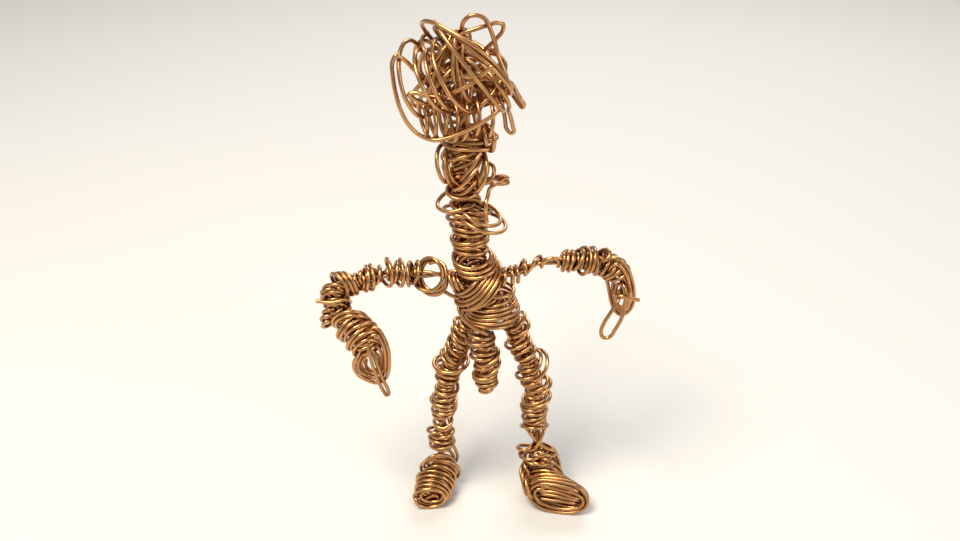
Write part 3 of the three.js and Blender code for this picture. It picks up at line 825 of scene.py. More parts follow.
class ShaderGroups:
    """The shader node groups that the wire finishes share, each made once.

    Attributes:
        recess_range: Crowding at which the painted shade of a recess begins and at which it is
            full.
        mask_range: Sum of tarnish and painted shade at which dulling begins and at which it is
            full.
        spot_share: Weight of the small spots against the clouds.
        line_share: Weight of the drawn lines against the dents.
    """

    recess_range = (0.3, 3.2)
    mask_range = (0.55, 1.15)
    spot_share = 0.45
    line_share = 0.35

    @staticmethod
    def new(name: str, takes: dict[str, float], gives: tuple[str, ...]) -> bpy.types.NodeTree:
        """Make an empty group with number sockets.

        Args:
            name: Name of the group.
            takes: Its inputs and their values at the start.
            gives: Its outputs.

        Returns:
            The group's tree.
        """
        tree = bpy.data.node_groups.new(name, "ShaderNodeTree")
        for key, value in takes.items():
            made = tree.interface.new_socket(key, in_out="INPUT", socket_type="NodeSocketFloat")
            made.default_value = value
        for key in gives:
            tree.interface.new_socket(key, in_out="OUTPUT", socket_type="NodeSocketFloat")
        return tree

    @classmethod
    def tarnish_and_shade(cls) -> bpy.types.NodeTree:
        """Make the group that says where the copper is tarnished, and where it is darkened with
        painted shade.

        Formula: soft clouds over the whole figure and small spots stand for tarnish. The depth of
        the surface among its neighbours is painted shade of the recesses. They are added, and the
        sum is eased into a mask.

        Returns:
            The group's tree.
        """
        takes = {"Cloud Scale": 90.0, "Spot Scale": 700.0, "Depth": 0.5}
        tree = cls.new("copper_tarnish_and_shade", takes, ("Mask", "Recess"))
        sheet = NodeSheet(tree)
        given = sheet.add("NodeGroupInput").outputs
        place = sheet.add("ShaderNodeTexCoord").outputs["Object"]
        clouds = sheet.noise(place, given["Cloud Scale"], 3.0)
        spots = sheet.noise(place, given["Spot Scale"], 2.0)
        near = sheet.add("ShaderNodeAttribute", attribute_name="recess").outputs["Fac"]
        recess = sheet.ramp(near, *cls.recess_range)
        base = sheet.math("MULTIPLY_ADD", spots, cls.spot_share, clouds)
        # Painted shade: the deeper a spot lies among other wires, the more it is dulled.
        deep = sheet.math("MULTIPLY", recess, given["Depth"])
        mask = sheet.ramp(sheet.math("ADD", base, deep), *cls.mask_range)
        sheet.add("NodeGroupOutput", {"Mask": mask, "Recess": recess})
        return tree

    @classmethod
    def drawn(cls) -> bpy.types.NodeTree:
        """Make the group for the fine lines that drawing leaves along a wire.

        Formula: noise read from the wire's own map, stretched along its length, with shallow
        dents from noise over the whole figure.

        Returns:
            The group's tree.
        """
        takes = {"Lines": 9.0, "Stretch": 0.12, "Dents": 420.0}
        tree = cls.new("drawn_wire", takes, ("Line", "Height"))
        sheet = NodeSheet(tree)
        given = sheet.add("NodeGroupInput").outputs
        wire = sheet.add("ShaderNodeUVMap", uv_map="wire").outputs["UV"]
        parts = sheet.add("ShaderNodeSeparateXYZ", {"Vector": wire}).outputs
        turned = sheet.math("MULTIPLY", parts["Y"], 2.0 * math.pi)
        across = sheet.math("MULTIPLY", sheet.math("COSINE", turned), given["Lines"])
        around = sheet.math("MULTIPLY", sheet.math("SINE", turned), given["Lines"])
        along = sheet.math("MULTIPLY", parts["X"], given["Stretch"])
        spot = sheet.add("ShaderNodeCombineXYZ", {"X": along, "Y": across, "Z": around}).outputs[0]
        line = sheet.noise(spot, 1.0, 4.0)
        place = sheet.add("ShaderNodeTexCoord").outputs["Object"]
        dents = sheet.noise(place, given["Dents"], 1.0)
        height = sheet.math("MULTIPLY_ADD", line, cls.line_share, dents)
        sheet.add("NodeGroupOutput", {"Line": line, "Height": height})
        return tree


@dataclass(frozen=True)
class CopperFinish:
    """The surface of one kind of wire.

    Attributes:
        name: Name of the material.
        bright: Colour of clean copper, linear.
        dull: Colour of tarnished copper, and of the painted shade in recesses, linear.
        deep: Colour of the painted shade in the recesses, linear.
        smooth: Roughness of clean copper.
        rough: Roughness of tarnished copper.
        skin: Weight of the thin clear skin over the copper.
        cloud: Scale of the tarnish clouds per metre.
        depth: How strongly the painted shade of recesses adds to the dulling mask.
        bump: Strength of the drawn lines and dents.
        lines: How much the drawn lines vary the roughness.
    """

    name: str
    bright: tuple[float, float, float]
    dull: tuple[float, float, float]
    deep: tuple[float, float, float]
    smooth: float
    rough: float
    skin: float
    cloud: float
    depth: float
    bump: float
    lines: float = 0.16

    def material(self, groups: dict[str, bpy.types.NodeTree]) -> bpy.types.Material:
        """Make the material.

        Args:
            groups: The shared shader groups by name.

        Returns:
            The material.
        """
        made = bpy.data.materials.new(self.name)
        made.use_nodes = True
        sheet = NodeSheet(made.node_tree)
        tarnish_and_shade = sheet.add("ShaderNodeGroup", node_tree=groups["tarnish_and_shade"])
        tarnish_and_shade.inputs["Cloud Scale"].default_value = self.cloud
        tarnish_and_shade.inputs["Depth"].default_value = self.depth
        drawn = sheet.add("ShaderNodeGroup", node_tree=groups["drawn"])
        mask, recess = tarnish_and_shade.outputs["Mask"], tarnish_and_shade.outputs["Recess"]
        # Dulled colour where the mask is high, from tarnish and from the painted shade of recesses.
        open_hue = sheet.mix(mask, (*self.bright, 1.0), (*self.dull, 1.0))
        # The recesses take the deep colour: painted shade between the wires.
        hue = sheet.mix(recess, open_hue, (*self.deep, 1.0))
        level = sheet.add("ShaderNodeMapRange", {
            "Value": mask, "To Min": self.smooth, "To Max": self.rough,
        }).outputs["Result"]
        spread = sheet.math("MULTIPLY_ADD", drawn.outputs["Line"], self.lines, level)
        rough = sheet.math("SUBTRACT", spread, self.lines / 2.0, clamp=True)
        bump = sheet.add("ShaderNodeBump", {
            "Height": drawn.outputs["Height"], "Strength": self.bump, "Distance": BUMP_DISTANCE,
        })
        shader = sheet.add("ShaderNodeBsdfPrincipled", {
            "Base Color": hue, "Roughness": rough, "Normal": bump.outputs["Normal"],
            "Metallic": 1.0, "Coat Weight": self.skin, "Coat Roughness": SKIN_ROUGHNESS,
        })
        sheet.add("ShaderNodeOutputMaterial", {"Surface": shader.outputs["BSDF"]})
        return made


# The deep colours and the depth weights are painted shade of the recesses between wires.
CORE_FINISH = CopperFinish(
    name="core_copper",
    bright=(0.51, 0.255, 0.094), dull=(0.33, 0.160, 0.062), deep=(0.31, 0.113, 0.041),
    smooth=0.27, rough=0.43, skin=0.25, cloud=110.0, depth=0.5, bump=0.25,
)
WOUND_FINISH = CopperFinish(
    name="wound_copper",
    bright=(0.60, 0.306, 0.112), dull=(0.39, 0.193, 0.074), deep=(0.36, 0.132, 0.048),
    smooth=0.24, rough=0.38, skin=0.3, cloud=85.0, depth=0.45, bump=0.22,
)


@dataclass
class SubAssembly:
    """A group of wires that are built and dressed together.

    Attributes:
        title: Name of the group for the report.
        wires: Its wires.
        strands: The laid strands of each wire.
    """

    title: str
    wires: tuple[Wire, ...]
    strands: list[list[Strand]] = field(default_factory=list)

    def lay(self, view: Viewpoint) -> list[Strand]:
        """Lay every wire.

        Args:
            view: The eye that the courses are drawn from.

        Returns:
            All strands of the group.
        """
        self.strands = [wire.lay(view) for wire in self.wires]
        return [strand for strands in self.strands for strand in strands]

    def build(self, finishes: dict[WireKind, bpy.types.Material]) -> list[bpy.types.Object]:
        """Mesh, dress and carry every stretch of every wire.

        Args:
            finishes: The material of each kind of wire.

        Returns:
            The pieces.
        """
        made = []
        for wire, strands in zip(self.wires, self.strands):
            start = 0
            for stretch in wire.stretches:
                end = start + len(stretch.course)
                piece = self.piece(stretch, strands, start, end)
                piece.data.materials.append(finishes[wire.kind])
                if stretch.nodes:
                    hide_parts(*stretch.nodes)
                self.carry(piece, stretch.carrier)
                made.append(piece)
                start = end
        return made

    @staticmethod
    def piece(stretch: Stretch, strands: list[Strand], start: int, end: int) -> bpy.types.Object:
        """Mesh one stretch of all strands.

        Args:
            stretch: The stretch.
            strands: The wire's strands.
            start: Place along the course at which the stretch starts.
            end: Place along the course at which it ends.

        Returns:
            The piece.
        """
        tubes = TubeMesh()
        for strand in strands:
            first = int(np.searchsorted(strand.marks, start)) if start else 0
            last = min(int(np.searchsorted(strand.marks, end)), len(strand.points) - 1)
            part = slice(first, last + 1)
            ends = (first == 0, last == len(strand.points) - 1)
            tubes.add(strand.points[part], strand.crowd[part], first * PATH_STEP, ends)
        return tubes.build(stretch.name)

    @staticmethod
    def carry(piece: bpy.types.Object, carrier: str) -> None:
        """Make a piece ride on a body. A piece over a joint is not bent: its placement is only
        baked into its mesh.

        Args:
            piece: The finished piece.
            carrier: Name of a body or of a joint.
        """
        joints = {joint["name"]: joint for joint in frame["joints"]}
        if carrier not in joints:
            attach(piece, carrier)
            return
        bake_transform(piece)


@dataclass
class Head(SubAssembly):
    """The tangled head: a crown of long slanting loops over a rounder heart of loops."""

    title: str = "head"
    wires: tuple[Wire, ...] = (
        Wire(WireKind.WOUND, (
            Stretch("head_crown", (
                Via(446, 47, -3.0), Via(456, 37, -0.5), Via(466, 32, 1.0), Via(477, 28.5, 1.0),
                Via(488, 25, 0.5), Via(497, 22.7, 0.0), Via(503, 24.3, -0.5), Via(503, 30, -1.0),
                Via(497, 38, -2.0), Via(488, 47, -3.0), Via(477, 57, -4.0), Via(468, 58, -4.0),
                Via(462, 46, -2.5), Via(460, 33, -0.5), Via(463, 22, 1.0), Via(470, 16, 1.5),
                Via(478, 15.3, 1.5), Via(484.5, 18.5, 1.5), Via(489, 26, 1.8), Via(492.5, 35, 2.0),
                Via(495.5, 45, 2.0), Via(498, 55, 2.2), Via(502, 65, 2.8), Via(506, 75, 3.2),
                Via(508.5, 85, 3.0), Via(507, 95, 1.5), Via(499, 101, -1.0),
                Loop(466, 57, 12.4, -37, -17, 0.72, 1.0), Loop(473, 61, 11.2, -41, -13, 0.75, 1.5),
                Loop(468, 66, 12.4, -52, 3, 0.55, 3.5), Loop(456, 75, 9.2, -63, 23, 0.95, 1.0),
                Loop(440, 80, 7.2, -69, 18, 0.9, 2.5), Loop(433, 81, 7.6, -66, 22, 0.95, 1.5),
                Loop(417, 79, 8.8, -80, 32, 0.8, 0.0),
                Via(440, 96, -5.0), Via(429, 87, -1.0), Via(414, 70, 2.5), Via(403, 59, 4.0),
                Via(396, 55.5, 4.5), Via(392.5, 62, 4.5), Via(393, 78, 5.0), Via(396, 95, 5.5),
                Via(401, 111, 6.0), Via(408, 124, 6.0), Via(418, 134, 6.0), Via(432, 139.5, 6.0),
                Via(448, 137.5, 6.5), Via(465, 131.5, 7.0), Via(483, 122, 7.5),
                Via(497, 113.5, 7.5), Via(502.5, 108.5, 7.0), Via(497, 103.5, 6.0),
                Via(485, 93, 3.0), Via(472, 86, -2.0), Via(458, 95, -5.0), Via(447, 110, -1.0),
                Via(427, 104, 4.0), Via(413, 98.5, 6.0), Via(408, 95, 6.5), Via(413, 93, 6.5),
                Via(425, 95.5, 7.0), Via(440, 97.5, 8.0), Via(455, 92, 9.5), Via(471, 84, 10.0),
                Via(481, 76, 10.3), Via(492, 66, 10.0),
            ), "head", ("head_tangle",)),
        )),
        Wire(WireKind.WOUND, (
            Stretch("head_heart", (
                Loop(463, 51, 3.6, -98, 10, 0.7, -0.5), Loop(457, 54, 4.0, -86, 14, 0.7, -1.5),
                Loop(461, 60, 6.2, -93, 22, 0.8, 0.0), Loop(468, 70, 8.4, -78, 20, 0.85, -2.0),
                Loop(452, 64, 8.2, -118, 24, 0.8, -3.0), Loop(446, 53, 4.8, -130, 16, 0.7, 0.0),
                Loop(451, 60, 5.4, -132, 20, 0.7, -2.0), Loop(449, 78, 5.0, -136, 14, 0.7, 1.0),
                Loop(447, 84, 9.5, -150, 30, 0.8, -4.5), Loop(462, 92, 9.8, -170, 28, 0.75, -4.5),
                Loop(474, 80, 8.6, -215, 24, 0.8, -3.5), Loop(494, 88, 5.8, -234, 14, 0.8, 2.0),
                Via(511, 118, 2.2), Via(513, 127, 2.0), Via(513.8, 132.3, 1.8),
                Via(510.6, 133, 1.5), Via(507, 129.5, 1.3), Via(505.2, 119, 1.3),
                Via(504.2, 108, 1.2), Via(503, 97, 0.5), Via(502.5, 87, 0.8), Via(505.5, 80.5, 1.4),
                Via(510, 82.5, 1.8), Via(515, 90, 2.0), Via(520, 98.5, 2.0), Via(524, 105.3, 1.9),
                Via(522.6, 107.6, 1.4), Via(518, 103, 0.8), Via(512.5, 96, 0.4), Via(506, 90, -0.6),
                Via(498, 93, -2.4),
                Loop(487, 119, 4.6, -272, 26, 0.7, 1.5), Loop(474, 117, 4.4, -268, 24, 0.7, 2.5),
                Loop(463, 120, 4.6, -272, 22, 0.7, 2.5), Loop(452, 122, 4.6, -266, 24, 0.7, 2.5),
                Loop(441, 122, 4.4, -268, 24, 0.7, 3.0), Loop(430, 121, 4.4, -264, 24, 0.7, 3.0),
                Loop(422, 118, 4.2, -262, 20, 0.7, 2.0),
            ), "head"),
        )),
        Wire(WireKind.WOUND, (
            Stretch("head_nape", (
                Loop(456, 54, 8.4, -28, 40, 0.8, -3.5), Loop(469, 62, 7.3, 4, 42, 0.8, -4.5),
                Loop(474, 84, 9.0, 44, 42, 0.8, -4.5), Loop(452, 92, 9.0, 84, 38, 0.8, -4.0),
                Loop(440, 74, 8.6, 124, 36, 0.8, -4.0), Loop(458, 74, 9.4, 160, 44, 0.8, -5.5),
                Loop(464, 98, 8.2, 190, 38, 0.8, -4.0),
            ), "head"),
        ), sense=-1),
    )


@dataclass
class Neck(SubAssembly):
    """The neck coil, the wide loops of the collar and the bunched jaw, on a twisted stem."""

    title: str = "neck"
    wires: tuple[Wire, ...] = (
        Wire(WireKind.WOUND, (
            Stretch("neck_coil", (
                Loop(477, 265, 5.1, 12, 46, 0.9), Loop(474.5, 260.5, 5.1, 7, 46, 0.9),
                Loop(472, 256, 4.8, 3, 46, 0.92), Loop(471.5, 248, 3.7, -3, 28, 0.95),
                Loop(470.5, 241, 4.4, 8, 24, 0.95), Loop(469.5, 237.3, 4.6, 5, 23, 0.95),
                Loop(469.5, 230, 3.9, -3, 26, 0.95), Loop(468.5, 225, 4.4, -6, 22, 0.95),
            ), "neck_bend", ("neck_wrap",)),
            Stretch("collar_loops", (
                Loop(466, 219.5, 4.8, -9, 14, 0.95, 0.3), Loop(484, 218, 5.9, -22, 34, 0.95, 2.2),
                Loop(480.5, 213, 5.2, -24, 30, 0.95, 2.2), Loop(464, 212, 5.1, -11, 14, 0.95, 0.5),
                Loop(472, 207, 4.8, -12, 20, 0.9), Loop(456, 202, 4.7, 8, 32, 0.95, 0.5),
            ), "head_nod"),
            Stretch("jaw_loops", (
                Loop(462, 190, 3.6, 4, 42, 0.9, 0.5), Loop(496, 180, 2.9, 2, 22, 0.8, 0.0),
                Loop(486, 173.5, 2.6, 74, 62, 0.85, 0.5), Loop(468, 173, 5.2, 52, 12, 0.9, 1.5),
                Loop(476, 171, 5.2, 82, 32, 0.9, 0.5), Loop(470, 160, 5.4, 60, 16, 0.9, 0.5),
                Loop(447, 163, 4.7, 96, -34, 0.9, 1.0), Loop(452, 166, 4.0, 88, -28, 0.9, 1.0),
                Loop(455, 164, 4.7, 94, -26, 0.9, -0.5), Loop(463, 166, 4.8, 86, 12, 0.8, -2.0),
                Loop(477, 165, 4.6, 80, 22, 0.8, -1.5), Loop(466, 184, 3.6, 40, 30, 0.9, 0.0),
                Loop(461, 158, 4.8, 30, 24, 0.8, -2.0), Loop(464, 150, 5.4, 20, 20, 0.8, 0.0),
                Loop(469, 141, 6.2, 2, 24, 0.8, 0.0), Loop(474, 136, 5.4, -4, 26, 0.8, -0.5),
                Loop(468, 130, 6.0, -10, 24, 0.8, -1.0), Loop(487, 137, 3.0, -74, -30, 0.8, 2.0),
                Loop(484, 136, 2.6, -80, -24, 0.8, 2.0),
            ), "head", ("jaw_wrap",)),
        )),
        Wire(WireKind.WOUND, (
            Stretch("jaw_tie", (
                Via(487, 222, 4.6), Via(485.5, 213, 5.4), Via(486, 203, 5.0), Via(488, 195, 3.4),
                Via(489.5, 188.5, 2.4), Via(494, 184.5, 1.6), Via(503, 182.5, 1.0),
                Via(508.3, 179.5, 0.5), Via(504, 177.2, 0.0), Via(495, 177.6, -0.5),
                Via(487, 181, -1.5),
            ), "head_nod"),
        )),
        Wire(WireKind.WOUND, (
            Stretch("neck_lining", lining(
                (Via(476, 272), Via(471, 250), Via(469.5, 227)), 3.1, 4.3, 32.0,
            ), "neck_bend"),
            Stretch("collar_lining", lining(
                (Via(469, 222.5), Via(466, 200)), 3.0, 4.3, 30.0,
            ), "head_nod"),
            Stretch("jaw_lining", lining(
                (Via(465, 196), Via(462.5, 146)), 2.7, 4.5, 30.0,
            ), "head_nod"),
        )),
        Wire(WireKind.CORE, (
            Stretch("spine_pair", (
                Via(481, 317), Via(479, 303), Via(477, 288), Via(474, 273), Via(472, 259),
            ), "torso", ("spine_core_right", "spine_core_left")),
            Stretch("neck_pair", (
                Via(471, 248), Via(470, 238), Via(469, 226), Via(468, 216),
            ), "neck_bend", ("neck_core_right", "neck_core_left")),
            Stretch("head_stem", (
                Via(467, 204), Via(466, 192), Via(465, 178), Via(464, 162), Via(463, 145),
                Via(461, 125), Via(459, 104), Via(458, 84),
            ), "head_nod", ("head_core",)),
        ), plies=2, grip=PAIR_GRIP),
    )


@dataclass
class Trunk(SubAssembly):
    """The slanting chest band, the hip coil and the sweeping wire between them."""

    title: str = "trunk"
    wires: tuple[Wire, ...] = (
        Wire(WireKind.WOUND, (
            Stretch("chest_band", (
                Loop(469, 277, 4.9, 46, 32, 0.9), Loop(471.5, 279, 5.6, 49, 33, 0.9),
                Loop(473.5, 281, 6.2, 52, 34, 0.9), Loop(476.5, 282.5, 6.9, 49, 33, 0.86),
                Loop(479.5, 285, 7.5, 53, 32, 0.84), Loop(482, 289, 6.9, 46, 33, 0.84),
            ), "torso", ("chest_wrap", "waist_wrap")),
            Stretch("hip_coil", (
                Loop(497, 291, 4.4, 4, 28, 0.85), Loop(494, 297, 5.0, 10, 30, 0.9),
                Loop(493, 301.5, 5.8, 6, 28, 0.88), Loop(493, 305.5, 6.2, 10, 30, 0.85),
                Loop(493.5, 309.5, 6.6, 7, 28, 0.85), Loop(492.5, 313, 6.9, 4, 30, 0.85),
                Loop(489, 318, 6.5, -4, 28, 0.85),
                Via(459, 299, 1.0), Via(460, 309, 3.0), Via(464, 319, 4.5), Via(472, 326.5, 5.5),
                Via(480, 331.5, 6.0), Via(488, 336, 6.0),
            ), "torso", ("hip_wrap",)),
        )),
        Wire(WireKind.WOUND, (
            Stretch("chest_tie", (
                Via(438, 288, 1.0), Via(443.5, 291, 2.0), Via(451.3, 295, 2.6),
                Via(459.3, 296.8, 2.6), Via(465, 293, 1.5),
                Loop(461, 283, 2.7, -60, 14, 0.9, 1.5), Loop(457, 282, 2.6, -64, 14, 0.9, 1.8),
                Loop(452.5, 281.5, 2.5, -68, 14, 0.9, 1.5),
            ), "right_shoulder_swing"),
        ), sense=-1),
        Wire(WireKind.WOUND, (
            Stretch("trunk_lining", lining(
                (Via(474.5, 277), Via(482, 291), Via(490, 303), Via(490, 318)), 4.0, 4.5, 32.0,
            ), "torso"),
        )),
    )


@dataclass
class Stub(SubAssembly):
    """The short coil that hangs in front between the legs."""

    title: str = "stub"
    wires: tuple[Wire, ...] = (
        Wire(WireKind.WOUND, (
            Stretch("stub_coil", (
                Loop(481, 333, 3.0, -5, 32, 1.0, 0.8), Loop(480, 338.5, 3.6, 3, 30, 1.0, 0.6),
                Loop(484, 344, 2.1, 0, 32), Loop(484, 349.5, 3.2, 3, 28),
                Loop(483, 354.5, 3.3, -1, 28), Loop(487.5, 357, 3.3, 38, 34),
                Loop(485.5, 363, 2.9, 14, 32), Loop(488.5, 367.5, 3.4, 44, 34),
                Loop(485.5, 372, 3.0, 10, 32), Loop(484.5, 376, 2.9, 2, 32),
                Loop(486, 380.5, 2.6, 12, 32), Loop(488.5, 384, 2.4, 24, 30),
                Loop(486, 388.5, 1.7, 8, 34),
            ), "stub_bend", ("stub_wrap",)),
        ), depth=STUB_DEPTH),
        Wire(WireKind.WOUND, (
            Stretch("stub_lining", lining(
                (Via(483, 336), Via(485, 354), Via(487, 386)), 1.75, 4.0, 31.0,
            ), "stub_bend"),
        ), depth=STUB_DEPTH),
        Wire(WireKind.CORE, (
            Stretch("stub_pair", (
                Via(484, 322, -2.5), Via(485, 334), Via(485, 348), Via(486, 362), Via(486, 377),
                Via(486, 392),
            ), "stub_bend", ("stub_root_right", "stub_root_left", "stub_core")),
        ), depth=STUB_DEPTH, plies=2, grip=PAIR_GRIP),
    )


